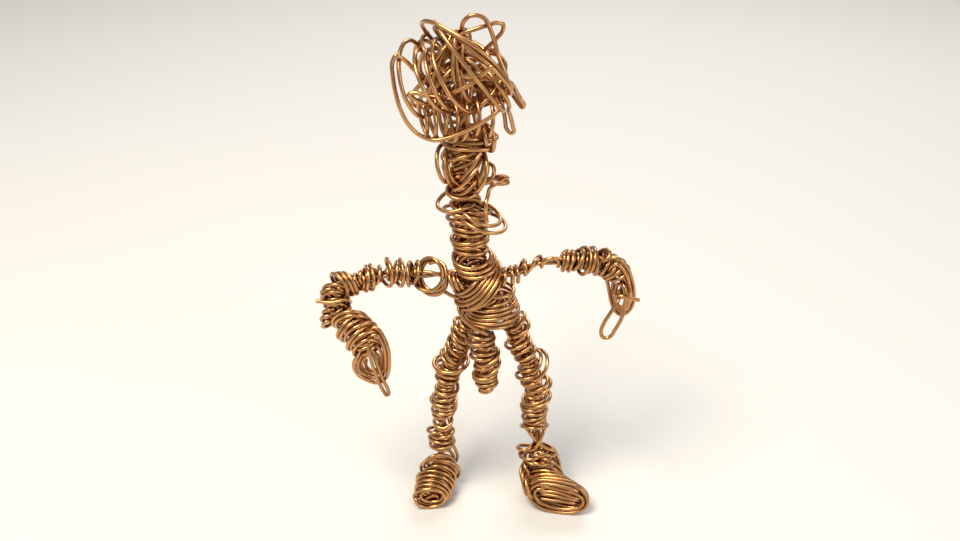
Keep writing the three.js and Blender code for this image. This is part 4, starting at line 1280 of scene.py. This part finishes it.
@dataclass
class Arms(SubAssembly):
    """Both wound arms on one twisted pair that runs through the chest."""

    title: str = "arms"
    wires: tuple[Wire, ...] = (
        Wire(WireKind.CORE, (
            Stretch("right_elbow_pair", (
                Via(369, 350, 5.6), Via(359, 336, 4.0), Via(347, 320, 2.2), Via(338, 306, 0.9),
                Via(335, 296, 0.3), Via(339, 288), Via(350, 283), Via(362, 279), Via(376, 277),
            ), "right_elbow_bend"),
            Stretch("right_shoulder_pair", (
                Via(390, 273), Via(405, 273), Via(418, 274), Via(432, 274), Via(446, 275),
            ), "right_shoulder_swing", ("right_upper_arm_core_front", "right_upper_arm_core_back")),
            Stretch("shoulder_pair", (
                Via(458, 276), Via(470, 276), Via(484, 276), Via(494, 277),
            ), "torso", ("shoulder_bar_front", "shoulder_bar_back")),
            Stretch("left_shoulder_pair", (
                Via(504, 276), Via(515, 273), Via(530, 267), Via(544, 262),
            ), "left_shoulder_swing", ("left_upper_arm_core_front", "left_upper_arm_core_back")),
            Stretch("left_elbow_pair", (
                Via(558, 261), Via(572, 261), Via(588, 261), Via(604, 262), Via(616, 266),
                Via(622, 276), Via(622, 288), Via(620, 298),
            ), "left_elbow_bend"),
        ), plies=2, twist=17.0, grip=PAIR_GRIP),
        Wire(WireKind.CORE, (
            Stretch("right_finger_loop", (
                Via(367, 342, 7.4), Via(369.4, 353, 8.2), Via(372.4, 365, 8.4),
                Via(376, 375.2, 8.4), Via(380.4, 385.5, 8.2), Via(384.2, 392.3, 8.0),
                Via(386.6, 395.2, 8.0), Via(388.5, 394.4, 8.0), Via(388.3, 390.8, 8.0),
                Via(384.4, 382.3, 8.0), Via(379.9, 372.2, 7.8), Via(375.9, 361.2, 7.6),
                Via(372.6, 350, 7.0), Via(370, 341, 6.0),
            ), "right_forearm", ("right_forearm_core",)),
        ), grip=FINGER_GRIP),
        Wire(WireKind.WOUND, (
            Stretch("right_shoulder_coil", (
                Loop(434, 276, 4.0, 90, 68, 0.95, 0.5), Loop(432, 277, 4.4, 92, 72, 0.92, 0.5),
                Loop(430, 275, 4.2, 88, 66, 0.9, 0.5), Loop(415.5, 272.5, 2.8, 76, 14),
                Loop(409.5, 274, 3.0, 86, -10), Loop(400, 273, 3.4, 92, 16),
                Loop(395.5, 272, 2.7, 78, 8), Loop(388, 272.5, 3.6, 95, 14),
            ), "right_upper_arm", ("right_shoulder_ring", "right_upper_arm_wrap")),
            Stretch("right_elbow_coil", (
                Loop(377.5, 274.5, 2.0, 76, 16), Loop(370.5, 277.5, 3.2, 94, 14),
                Loop(366, 278.5, 3.2, 84, 12), Loop(361, 280, 2.0, 96, 16),
                Loop(348.5, 284, 3.3, 120, 22), Loop(344, 284.5, 3.5, 125, 24),
                Loop(339.5, 284, 3.2, 120, 26), Loop(336, 291.5, 3.2, 166, 28),
                Loop(330.5, 294.5, 2.2, 172, 26, 1.0, 0.5), Loop(335, 297, 3.4, 176, 30),
                Loop(337, 303, 3.2, 188, 26),
                Via(344, 299.4, 3.0), Via(337, 301.6, 3.6), Via(329.8, 302.6, 3.6),
                Via(323, 302, 3.5), Via(316.5, 301, 3.4),
            ), "right_elbow_bend"),
        )),
        Wire(WireKind.WOUND, (
            Stretch("right_hand_coil", (
                Loop(339, 308, 2.2, 172, 28, 1.0, 0.8), Loop(330.5, 313, 1.9, 178, 28, 1.0, 1.0),
                Loop(328.5, 318.5, 1.9, 184, 30, 1.0, 1.4),
                Loop(329.5, 324, 1.8, 196, 30, 1.0, 1.8), Loop(351, 319.5, 4.3, 172, 26, 1.0, 2.0),
                Loop(353, 323, 4.3, 180, 28, 1.0, 2.5), Loop(349, 327, 3.9, 222, 22, 1.0, 3.0),
                Loop(354, 330, 4.2, 212, 24, 1.0, 3.5), Loop(360.5, 333, 4.2, 200, 26, 1.0, 4.2),
                Loop(361.5, 338.5, 4.3, 216, 26, 1.0, 4.8),
                Loop(366.5, 343, 4.2, 200, 34, 1.0, 5.4), Loop(368, 349, 3.7, 190, 34, 1.0, 6.0),
                Via(366, 331, 4.5), Via(373.5, 326.8, 5.0), Via(378.5, 329.5, 5.5),
                Via(383.4, 338, 6.0), Via(387.5, 348.5, 6.5), Via(389.2, 360, 7.0),
                Via(388.5, 371, 7.2), Via(384.6, 379.5, 7.2), Via(376.5, 382.8, 7.0),
                Via(367.2, 379.8, 7.0), Via(358.6, 375.2, 7.0), Via(354, 368, 6.8),
                Via(354, 361, 6.6), Via(358.5, 354.5, 6.6), Via(364, 344, 6.6), Via(370, 336, 6.2),
                Via(375.5, 334, 6.0), Via(381.3, 341, 6.2), Via(384.8, 350.5, 6.5),
                Via(385.8, 361, 6.7), Via(384.6, 371, 6.6), Via(379.5, 378, 6.4),
                Via(369.5, 377, 6.2), Via(361.3, 372.3, 6.2), Via(357.4, 366, 6.0),
                Via(358.8, 359, 5.8), Via(367, 348, 5.4), Via(376.3, 343.8, 5.4),
                Via(381, 352, 5.6), Via(382.4, 362, 5.8), Via(380, 371.3, 5.6),
                Via(373.5, 374.8, 5.4), Via(365.7, 371.3, 5.3), Via(361.2, 365.6, 5.2),
                Via(363.2, 358.8, 5.0), Via(370.5, 352.3, 4.6), Via(376.6, 354, 4.6),
                Via(378.8, 362, 4.8), Via(376.5, 369.5, 4.6), Via(371, 370.8, 4.4),
                Via(366, 365.5, 4.3), Via(366.3, 359, 4.2),
            ), "right_forearm", ("right_forearm_wrap",)),
        )),
        Wire(WireKind.WOUND, (
            Stretch("right_upper_arm_lining", lining(
                (Via(417, 273.8), Via(385, 273.5)), 1.65, 7.0, 12.0,
            ), "right_upper_arm"),
            Stretch("right_elbow_lining", lining((
                Via(376, 276), Via(362, 279), Via(350, 283), Via(340, 287.5), Via(335.5, 295),
                Via(336, 303),
            ), 1.7, 6.0, 24.0), "right_elbow_bend"),
            Stretch("right_forearm_lining", lining((
                Via(337.5, 308, 0.8), Via(346, 317.5, 1.9), Via(354, 327, 3.1), Via(362, 338, 4.6),
                Via(367, 348, 5.6),
            ), 2.3, 4.5, 29.0), "right_forearm"),
        )),
        Wire(WireKind.WOUND, (
            Stretch("left_shoulder_coil", (
                Loop(502.5, 277.5, 2.3, 80, 14), Loop(511.3, 275.6, 2.2, 97, 10),
                Loop(516.7, 274, 2.1, 99, 10), Loop(524.5, 267, 1.8, 94, 8),
                Via(532, 266, 1.2), Via(535.5, 260, 1.0), Via(539, 256.5, 0.2),
            ), "left_shoulder_swing", ("left_upper_arm_wrap",)),
            Stretch("left_elbow_coil", (
                Via(541, 261, -1.0), Via(540.5, 264.5, 0.2), Via(543.5, 260.5, 1.4),
                Via(549, 258.3, 1.7), Via(555, 258, 1.7), Via(559, 260.5, 1.4), Via(559, 265, 0.8),
                Loop(565, 260.5, 2.3, 74, 16), Loop(570.5, 261, 2.4, 78, 14),
                Loop(577.5, 259, 2.8, 64, 22), Loop(583.5, 261, 3.4, 88, 40),
                Loop(590, 260, 3.2, 76, 22), Loop(596, 262.5, 2.9, 94, 14),
                Loop(602, 264, 2.9, 74, 20), Loop(604, 255, 1.6, 40, 62, 1.0, 1.5),
                Loop(609, 266.5, 2.8, 62, 22), Loop(615, 269, 2.9, 46, 24),
                Loop(618, 273, 2.8, 34, 28),
                Via(606, 260, 2.0), Via(613, 257.4, 2.5), Via(620, 259.5, 2.9),
                Via(626.5, 266.5, 2.9), Via(631, 277, 2.5), Via(633.5, 288, 2.0),
                Via(634, 297, 1.5),
            ), "left_elbow_bend"),
            Stretch("left_hand_coil", (
                Via(632, 306, 1.0), Via(627, 312.5, 0.5), Via(621, 314.8, 0.0),
                Via(615.5, 311, -0.5), Via(612.3, 303, -1.0), Via(610.3, 294, -0.8),
                Via(609, 285.5, 0.2), Via(608.7, 276, 1.2), Via(611.5, 267, 2.2),
                Via(617, 264.3, 2.9), Via(622.5, 268.5, 3.1), Via(626.3, 277, 2.9),
                Via(628.8, 287, 2.6), Via(629.5, 296, 2.4), Via(629, 303, 2.0),
                Via(626, 309.3, 1.0), Via(621.3, 311.3, 0.2), Via(616.6, 307.3, -0.4),
                Via(613.8, 300, -0.6), Via(612.4, 291, -0.2), Via(612.4, 281, 0.8),
                Via(614.8, 273, 1.6), Via(619.2, 271, 2.2), Via(623, 275.5, 2.4),
                Via(625.2, 284.5, 2.2), Via(625.8, 294, 1.9), Via(624.6, 303, 1.4),
                Via(621.6, 307.6, 0.6), Via(618.4, 305, 0.2), Via(616.4, 297.5, 0.2),
                Via(616, 289, 0.8), Via(618, 283.5, 1.2), Via(621, 283, 1.4), Via(623, 288, 1.2),
                Via(622.6, 294.5, 1.0), Via(619.5, 297, 1.4), Via(615.5, 294.3, 3.0),
                Via(620, 295.3, 4.2), Via(629, 297.6, 4.6), Via(639, 300, 4.8),
            ), "left_forearm", ("left_forearm_wrap",)),
        )),
        Wire(WireKind.WOUND, (
            Stretch("left_elbow_lining", lining(
                (Via(563, 260.5), Via(600, 262), Via(612, 265.5), Via(618.5, 273)), 1.8, 4.5, 16.0,
            ), "left_elbow_bend"),
        )),
        Wire(WireKind.CORE, (
            Stretch("left_finger_loop", (
                Via(621.5, 280, 1.0), Via(625.3, 288, 3.4), Via(625.6, 304, 4.2),
                Via(622.4, 316, 4.5), Via(615.5, 329, 4.5), Via(608.3, 337.6, 4.3),
                Via(603.3, 337.6, 4.2), Via(601, 332, 4.2), Via(603.8, 323.5, 4.3),
                Via(610.8, 312.5, 4.3), Via(618, 301, 3.4), Via(620.5, 290, 1.0),
            ), "left_forearm", ("left_forearm_core",)),
        ), grip=FINGER_GRIP),
    )


RIGHT_FOOT = (
    Girth(441, 5.1, 18, (-2.2, 17.2), (6.0, 3.0)), Girth(438.5, 4.9, 10, (0.0, 12.9), (5.4, 0.9)),
    Girth(442, 5.3, 0, (-0.2, 11.3), (3.6, 0.5)), Girth(436, 5.5, -4, (-1.2, 9.8), (1.4, 0.5)),
    Girth(435.5, 5.4, -9, (-2.4, 9.0), (-0.6, 0.5)), Girth(434, 5.2, -3, (-3.7, 8.4), (-2.4, 0.5)),
    Girth(433, 5.0, -12, (-5.0, 7.8), (-4.2, 0.5)), Girth(431.5, 4.6, -3, (-6.1, 7.2), (-5.8, 0.5)),
    Girth(430, 4.3, 2, (-7.0, 6.7), (-7.0, 0.5)),
)
LEFT_FOOT = (
    Girth(544, 5.0, -16, (-0.8, 13.6), (5.5, 1.0)), Girth(545, 5.3, -10, (-1.3, 12.2), (2.6, 0.5)),
    Girth(545, 5.2, -4, (-2.1, 11.0), (-0.6, 0.5)), Girth(552, 7.2, -4, (-4.3, 10.2), (-3.4, 0.5)),
    Girth(555.5, 8.0, -9, (-4.9, 10.0), (-5.6, 0.5)),
    Girth(557.5, 8.5, -7, (-5.7, 9.8), (-7.4, 0.5)),
    Girth(558.5, 8.4, -6, (-6.7, 9.5), (-9.0, 0.5)),
)
INNER_INSET = 1.2  # how far the second layer of a foot is drawn in
INMOST_INSET = 2.5  # how far the third layer is


@dataclass
class Legs(SubAssembly):
    """Both wound legs with their coiled feet, on one twisted pair that arches through the hips."""

    title: str = "legs"
    wires: tuple[Wire, ...] = (
        Wire(WireKind.CORE, (
            Stretch("right_foot_pair", (
                Via(434, 488, high=5.0), Via(436, 478, high=5.5), Via(438, 468, high=7.5),
                Via(440, 458, high=10.5), Via(441, 446), Via(442, 434), Via(443, 424),
            ), "right_ankle_bend", ("right_foot_core",)),
            Stretch("right_knee_pair", (
                Via(444, 412), Via(445, 397), Via(447, 380), Via(450, 366), Via(455, 352),
            ), "right_knee_bend", ("right_shin_core_a", "right_shin_core_b")),
            Stretch("right_hip_pair", (
                Via(461, 339), Via(467, 327),
            ), "right_hip_swing", ("right_thigh_core_a", "right_thigh_core_b")),
            Stretch("hip_pair", (
                Via(475, 315), Via(485, 307), Via(496, 307),
            ), "torso", ("hip_arch_outer", "hip_arch_inner")),
            Stretch("left_hip_pair", (
                Via(506, 314), Via(513, 326), Via(518, 338),
            ), "left_hip_swing", ("left_thigh_core_a", "left_thigh_core_b")),
            Stretch("left_knee_pair", (
                Via(524, 352), Via(529, 366), Via(533, 380), Via(534, 397), Via(534, 412),
            ), "left_knee_bend", ("left_shin_core_a", "left_shin_core_b")),
            Stretch("left_foot_pair", (
                Via(535, 426), Via(537, 438), Via(538, 448), Via(541, 460, high=11.5),
                Via(545, 470, high=8.5), Via(550, 480, high=6.5), Via(554, 490, high=5.5),
            ), "left_ankle_bend", ("left_foot_core",)),
        ), depth=LEG_DEPTH, plies=2, twist=19.0, grip=PAIR_GRIP),
        Wire(WireKind.WOUND, (
            Stretch("right_hip_coil", (
                Loop(465, 326.5, 3.3, -42, 38), Loop(463, 334, 3.3, -38, 36),
                Loop(461.5, 339.5, 2.9, -48, 30), Loop(457.5, 345, 3.2, -64, 44),
                Loop(456, 351.5, 3.5, -74, 50),
            ), "right_hip_swing", ("right_thigh_wrap",)),
            Stretch("right_knee_coil", (
                Loop(451, 357, 3.0, -36, 36), Loop(451.3, 361.5, 4.7, 6, 40),
                Loop(449.5, 365.5, 3.7, -12, 34), Loop(447.5, 371, 3.2, -20, 32),
                Loop(447, 377, 3.0, -12, 34), Loop(447.5, 387.5, 2.9, -2, 52),
                Loop(444.5, 394.5, 3.1, 8, 34), Loop(443.5, 399, 3.5, -4, 36),
                Loop(444.5, 403.5, 3.3, -9, 34),
            ), "right_knee_bend", ("right_shin_wrap",)),
            Stretch("right_foot_coil", (
                Loop(444, 408, 3.3, 3, 32), Loop(443.5, 412, 2.9, 9, 36),
                Loop(443.5, 420.5, 2.4, 26, 66, 0.95, 1.0), Loop(435.5, 428, 2.3, 10, 28),
                Loop(443, 432.5, 3.1, 15, 26), Loop(441, 437.5, 3.3, -9, 28),
                Loop(442.5, 442.5, 3.4, 12, 30),
                *foot_turns(RIGHT_FOOT),
                Via(419, 496.5, 6.6), Via(424, 500, 7.0), Via(430, 496.8, 6.8),
                Via(436, 494.5, 6.4), Via(439, 498.5, 6.4), Via(432, 501.5, 6.6),
                Via(424, 502, 6.6), Via(420.5, 499.5, 5.8),
            ), "right_ankle_bend", ("right_foot_wrap",)),
        ), depth=LEG_DEPTH),
        Wire(WireKind.WOUND, (
            Stretch("left_hip_coil", (
                Loop(515, 321, 3.1, 44, 34), Loop(518.5, 327.5, 3.0, 30, 40),
                Loop(518.5, 334, 2.9, 50, 28), Loop(516.5, 340, 3.3, 27, 38),
                Loop(521, 346, 2.9, 38, 32),
            ), "left_hip_swing", ("left_thigh_wrap",)),
            Stretch("left_knee_coil", (
                Loop(525, 352.5, 3.0, 32, 36), Loop(532.5, 361, 3.3, 70, 40),
                Loop(536, 364.5, 4.2, 72, 44), Loop(530, 366.5, 2.7, 14, 30),
                Loop(526.5, 373.5, 2.9, 8, 34), Loop(531, 378, 2.9, 30, 36),
                Loop(537.5, 383, 3.0, 32, 38), Loop(540.5, 386.5, 3.2, 37, 36),
                Loop(534.5, 396, 3.4, 22, 40), Loop(537.5, 398.5, 3.8, 26, 36),
                Loop(533, 404.5, 3.3, 5, 34), Loop(534.5, 409, 3.4, 1, 30),
            ), "left_knee_bend", ("left_shin_wrap",)),
            Stretch("left_foot_coil", (
                Loop(533.5, 413.5, 3.2, 18, 34), Loop(535.5, 418, 3.0, 33, 32),
                Loop(534.5, 421.5, 2.9, 10, 28), Loop(534.5, 425, 3.5, 0, 8),
                Via(528, 429.5, 0.8), Via(531.5, 435.5, 1.8), Via(536, 441, 2.2),
                Via(541.5, 446, 2.2), Via(548, 449.5, 1.6),
                Loop(545, 449.5, 3.2, -22, 24), Loop(525.5, 446, 2.4, 8, 26),
                Loop(531, 453.5, 3.2, 10, 30), Loop(536, 457, 3.4, -4, 34),
                *foot_turns(LEFT_FOOT),
                Loop(559, 489, 5.8, -5, 164, 0.32, 0.0, 6.7),
                Loop(559.5, 492.5, 6.4, -2, 168, 0.3, 0.0, 5.6),
                Loop(561, 496, 6.2, -4, 166, 0.3, 0.0, 4.5),
                Loop(559, 500, 5.8, 2, 170, 0.28, 0.0, 3.5),
                Loop(560, 504, 4.8, 5, 168, 0.26, 0.0, 2.6),
            ), "left_ankle_bend", ("left_foot_wrap",)),
        ), depth=LEG_DEPTH),
        Wire(WireKind.WOUND, (
            Stretch("left_ankle_cross", (
                Via(546, 425.5, 0.0), Via(544.5, 430.5, 1.2), Via(541.8, 436.5, 2.0),
                Via(538.6, 443, 2.3), Via(534.5, 448, 1.8), Via(528, 451, 0.8),
                Via(522, 454.5, -1.0),
            ), "left_ankle_bend"),
        ), depth=LEG_DEPTH),
        Wire(WireKind.WOUND, (
            Stretch("right_thigh_lining", lining(
                (Via(467, 324), Via(457, 350)), 2.1, 4.0, 36.0,
            ), "right_hip_swing"),
            Stretch("right_shin_lining", lining(
                (Via(453, 355), Via(447, 376), Via(444.5, 404)), 2.1, 4.0, 33.0,
            ), "right_knee_bend"),
            Stretch("right_foot_lining", (
                *lining((Via(443, 427), Via(441.5, 450)), 2.1, 4.0, 32.0),
                *foot_turns(RIGHT_FOOT[:-1], INNER_INSET),
                *foot_turns(RIGHT_FOOT[-3:0:-1], INMOST_INSET),
            ), "right_ankle_bend"),
        ), depth=LEG_DEPTH),
        Wire(WireKind.WOUND, (
            Stretch("left_thigh_lining", lining(
                (Via(513, 321), Via(522, 349)), 2.1, 4.0, 36.0,
            ), "left_hip_swing"),
            Stretch("left_shin_lining", lining(
                (Via(526, 355), Via(533, 380), Via(534.5, 410)), 2.1, 4.0, 33.0,
            ), "left_knee_bend"),
            Stretch("left_foot_lining", (
                *lining((Via(534.5, 413), Via(535, 424)), 2.1, 4.0, 30.0),
                Via(536, 432), Via(537, 442),
                Loop(538, 452, 2.6, -4, 34), Loop(541, 458, 3.2, -6, 40, 1.0, 0.0, 12.4),
                *foot_turns(LEFT_FOOT, INNER_INSET), *foot_turns(LEFT_FOOT[-3::-1], INMOST_INSET),
            ), "left_ankle_bend"),
        ), depth=LEG_DEPTH),
        Wire(WireKind.WOUND, (
            Stretch("left_heel_coil", (
                Loop(529, 469, 3.2, -70, 26, 0.8, 1.5), Loop(526.5, 476, 3.8, -84, 26, 0.7, 2.5),
                Loop(527.5, 481, 3.8, -80, 28, 0.7, 4.0), Loop(531, 485, 3.6, -74, 30, 0.7, 5.5),
            ), "left_ankle_bend"),
        ), depth=LEG_DEPTH),
    )


@dataclass(frozen=True)
class Lamp:
    """One soft rectangular lamp.

    Attributes:
        name: Name of the lamp.
        place: Its place in metres.
        power: Its power in watts.
        width: Width in metres.
        height: Height in metres.
        colour: Linear colour.
    """

    name: str
    place: tuple[float, float, float]
    power: float
    width: float
    height: float
    colour: tuple[float, float, float] = (1.0, 1.0, 1.0)


@dataclass
class Studio:
    """The plain pale floor, the lamps and the even light around.

    Attributes:
        floor_half: Half of the floor's side in metres.
        floor_cells: Cells along one side of the floor's grid.
        floor_colour: Linear colour of the floor.
        world_colour: Linear colour of the light around.
        world_strength: Strength of the light around.
        aim: The point at which the lamps look, in metres.
        lamps: The lamps.
    """

    floor_half: float = 3.0
    floor_cells: int = 8
    floor_colour: tuple[float, float, float] = (0.74, 0.72, 0.69)
    world_colour: tuple[float, float, float] = (0.93, 0.95, 1.0)
    world_strength: float = 0.42
    aim: tuple[float, float, float] = (0.0, 0.0, 0.07)
    lamps: tuple[Lamp, ...] = (
        Lamp("key_lamp", (-0.26, -0.26, 0.75), 6.4, 0.34, 0.34, (1.0, 0.94, 0.80)),
        Lamp("fill_lamp", (0.60, -0.45, 0.40), 1.6, 0.40, 0.40, (0.94, 0.97, 1.0)),
        Lamp("back_lamp", (0.15, 0.60, 0.60), 2.4, 0.60, 0.25, (1.0, 0.96, 0.90)),
    )

    def build(self) -> None:
        """Set up the floor, the world, the lamps and the view."""
        self.floor()
        self.world()
        for lamp in self.lamps:
            self.lamp(lamp)
        bpy.context.scene.view_settings.view_transform = "Standard"

    def floor(self) -> bpy.types.Object:
        """Make the floor as a flat grid.

        Formula: two even parameters from one edge to the other give across and along; the height
        is zero.

        Returns:
            The floor object.
        """
        side = np.linspace(-self.floor_half, self.floor_half, self.floor_cells + 1)
        across, along = np.meshgrid(side, side, indexing="ij")
        verts = np.stack([across, along, np.zeros_like(across)], axis=2).reshape(-1, 3)
        i, j = np.meshgrid(np.arange(self.floor_cells), np.arange(self.floor_cells), indexing="ij")
        row = self.floor_cells + 1
        corner = i * row + j
        quads = np.stack([corner, corner + row, corner + row + 1, corner + 1], axis=2)
        mesh = bpy.data.meshes.new("studio_floor")
        mesh.from_pydata(verts.tolist(), [], quads.reshape(-1, 4).tolist())
        made = bpy.data.materials.new("pale_floor")
        made.use_nodes = True
        sheet = NodeSheet(made.node_tree)
        shader = sheet.add("ShaderNodeBsdfPrincipled", {
            "Base Color": (*self.floor_colour, 1.0), "Roughness": FLOOR_ROUGHNESS,
        })
        sheet.add("ShaderNodeOutputMaterial", {"Surface": shader.outputs["BSDF"]})
        mesh.materials.append(made)
        floor = bpy.data.objects.new("studio_floor", mesh)
        bpy.context.scene.collection.objects.link(floor)
        return floor

    def world(self) -> None:
        """Give the world an even pale light."""
        world = bpy.data.worlds.new("studio_world")
        world.use_nodes = True
        sheet = NodeSheet(world.node_tree)
        glow = sheet.add("ShaderNodeBackground", {
            "Color": (*self.world_colour, 1.0), "Strength": self.world_strength,
        })
        sheet.add("ShaderNodeOutputWorld", {"Surface": glow.outputs["Background"]})
        bpy.context.scene.world = world

    def lamp(self, lamp: Lamp) -> None:
        """Place one lamp and turn it towards the aim.

        Args:
            lamp: The lamp.
        """
        data = bpy.data.lights.new(lamp.name, "AREA")
        data.shape = "RECTANGLE"
        data.size, data.size_y = lamp.width, lamp.height
        data.energy = lamp.power
        data.color = lamp.colour
        made = bpy.data.objects.new(lamp.name, data)
        made.location = lamp.place
        way = np.array(self.aim) - np.array(lamp.place)
        yaw = math.atan2(way[0], -way[1])
        made.rotation_euler = (math.acos(-way[2] / np.linalg.norm(way)), 0.0, yaw + math.pi)
        bpy.context.scene.collection.objects.link(made)


def main() -> None:
    """Build the figure, dress it and set up the studio."""
    logging.basicConfig(level=logging.INFO, format="%(message)s")
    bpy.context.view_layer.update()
    view = Viewpoint()
    view.camera()
    parts = [Head(), Neck(), Trunk(), Stub(), Arms(), Legs()]
    strands = [strand for part in parts for strand in part.lay(view)]
    length = sum(len(strand.points) for strand in strands) * PATH_STEP * MM
    LOG.info("%d strands, %.2f m of wire", len(strands), length)
    Settling().settle(strands, WIRE_RADIUS)
    groups = {"tarnish_and_shade": ShaderGroups.tarnish_and_shade(), "drawn": ShaderGroups.drawn()}
    finishes = {
        WireKind.CORE: CORE_FINISH.material(groups),
        WireKind.WOUND: WOUND_FINISH.material(groups),
    }
    for part in parts:
        for piece in part.build(finishes):
            LOG.info("%s: %s, %d faces", part.title, piece.name, len(piece.data.polygons))
    Studio().build()


if __name__ == "__main__":
    main()
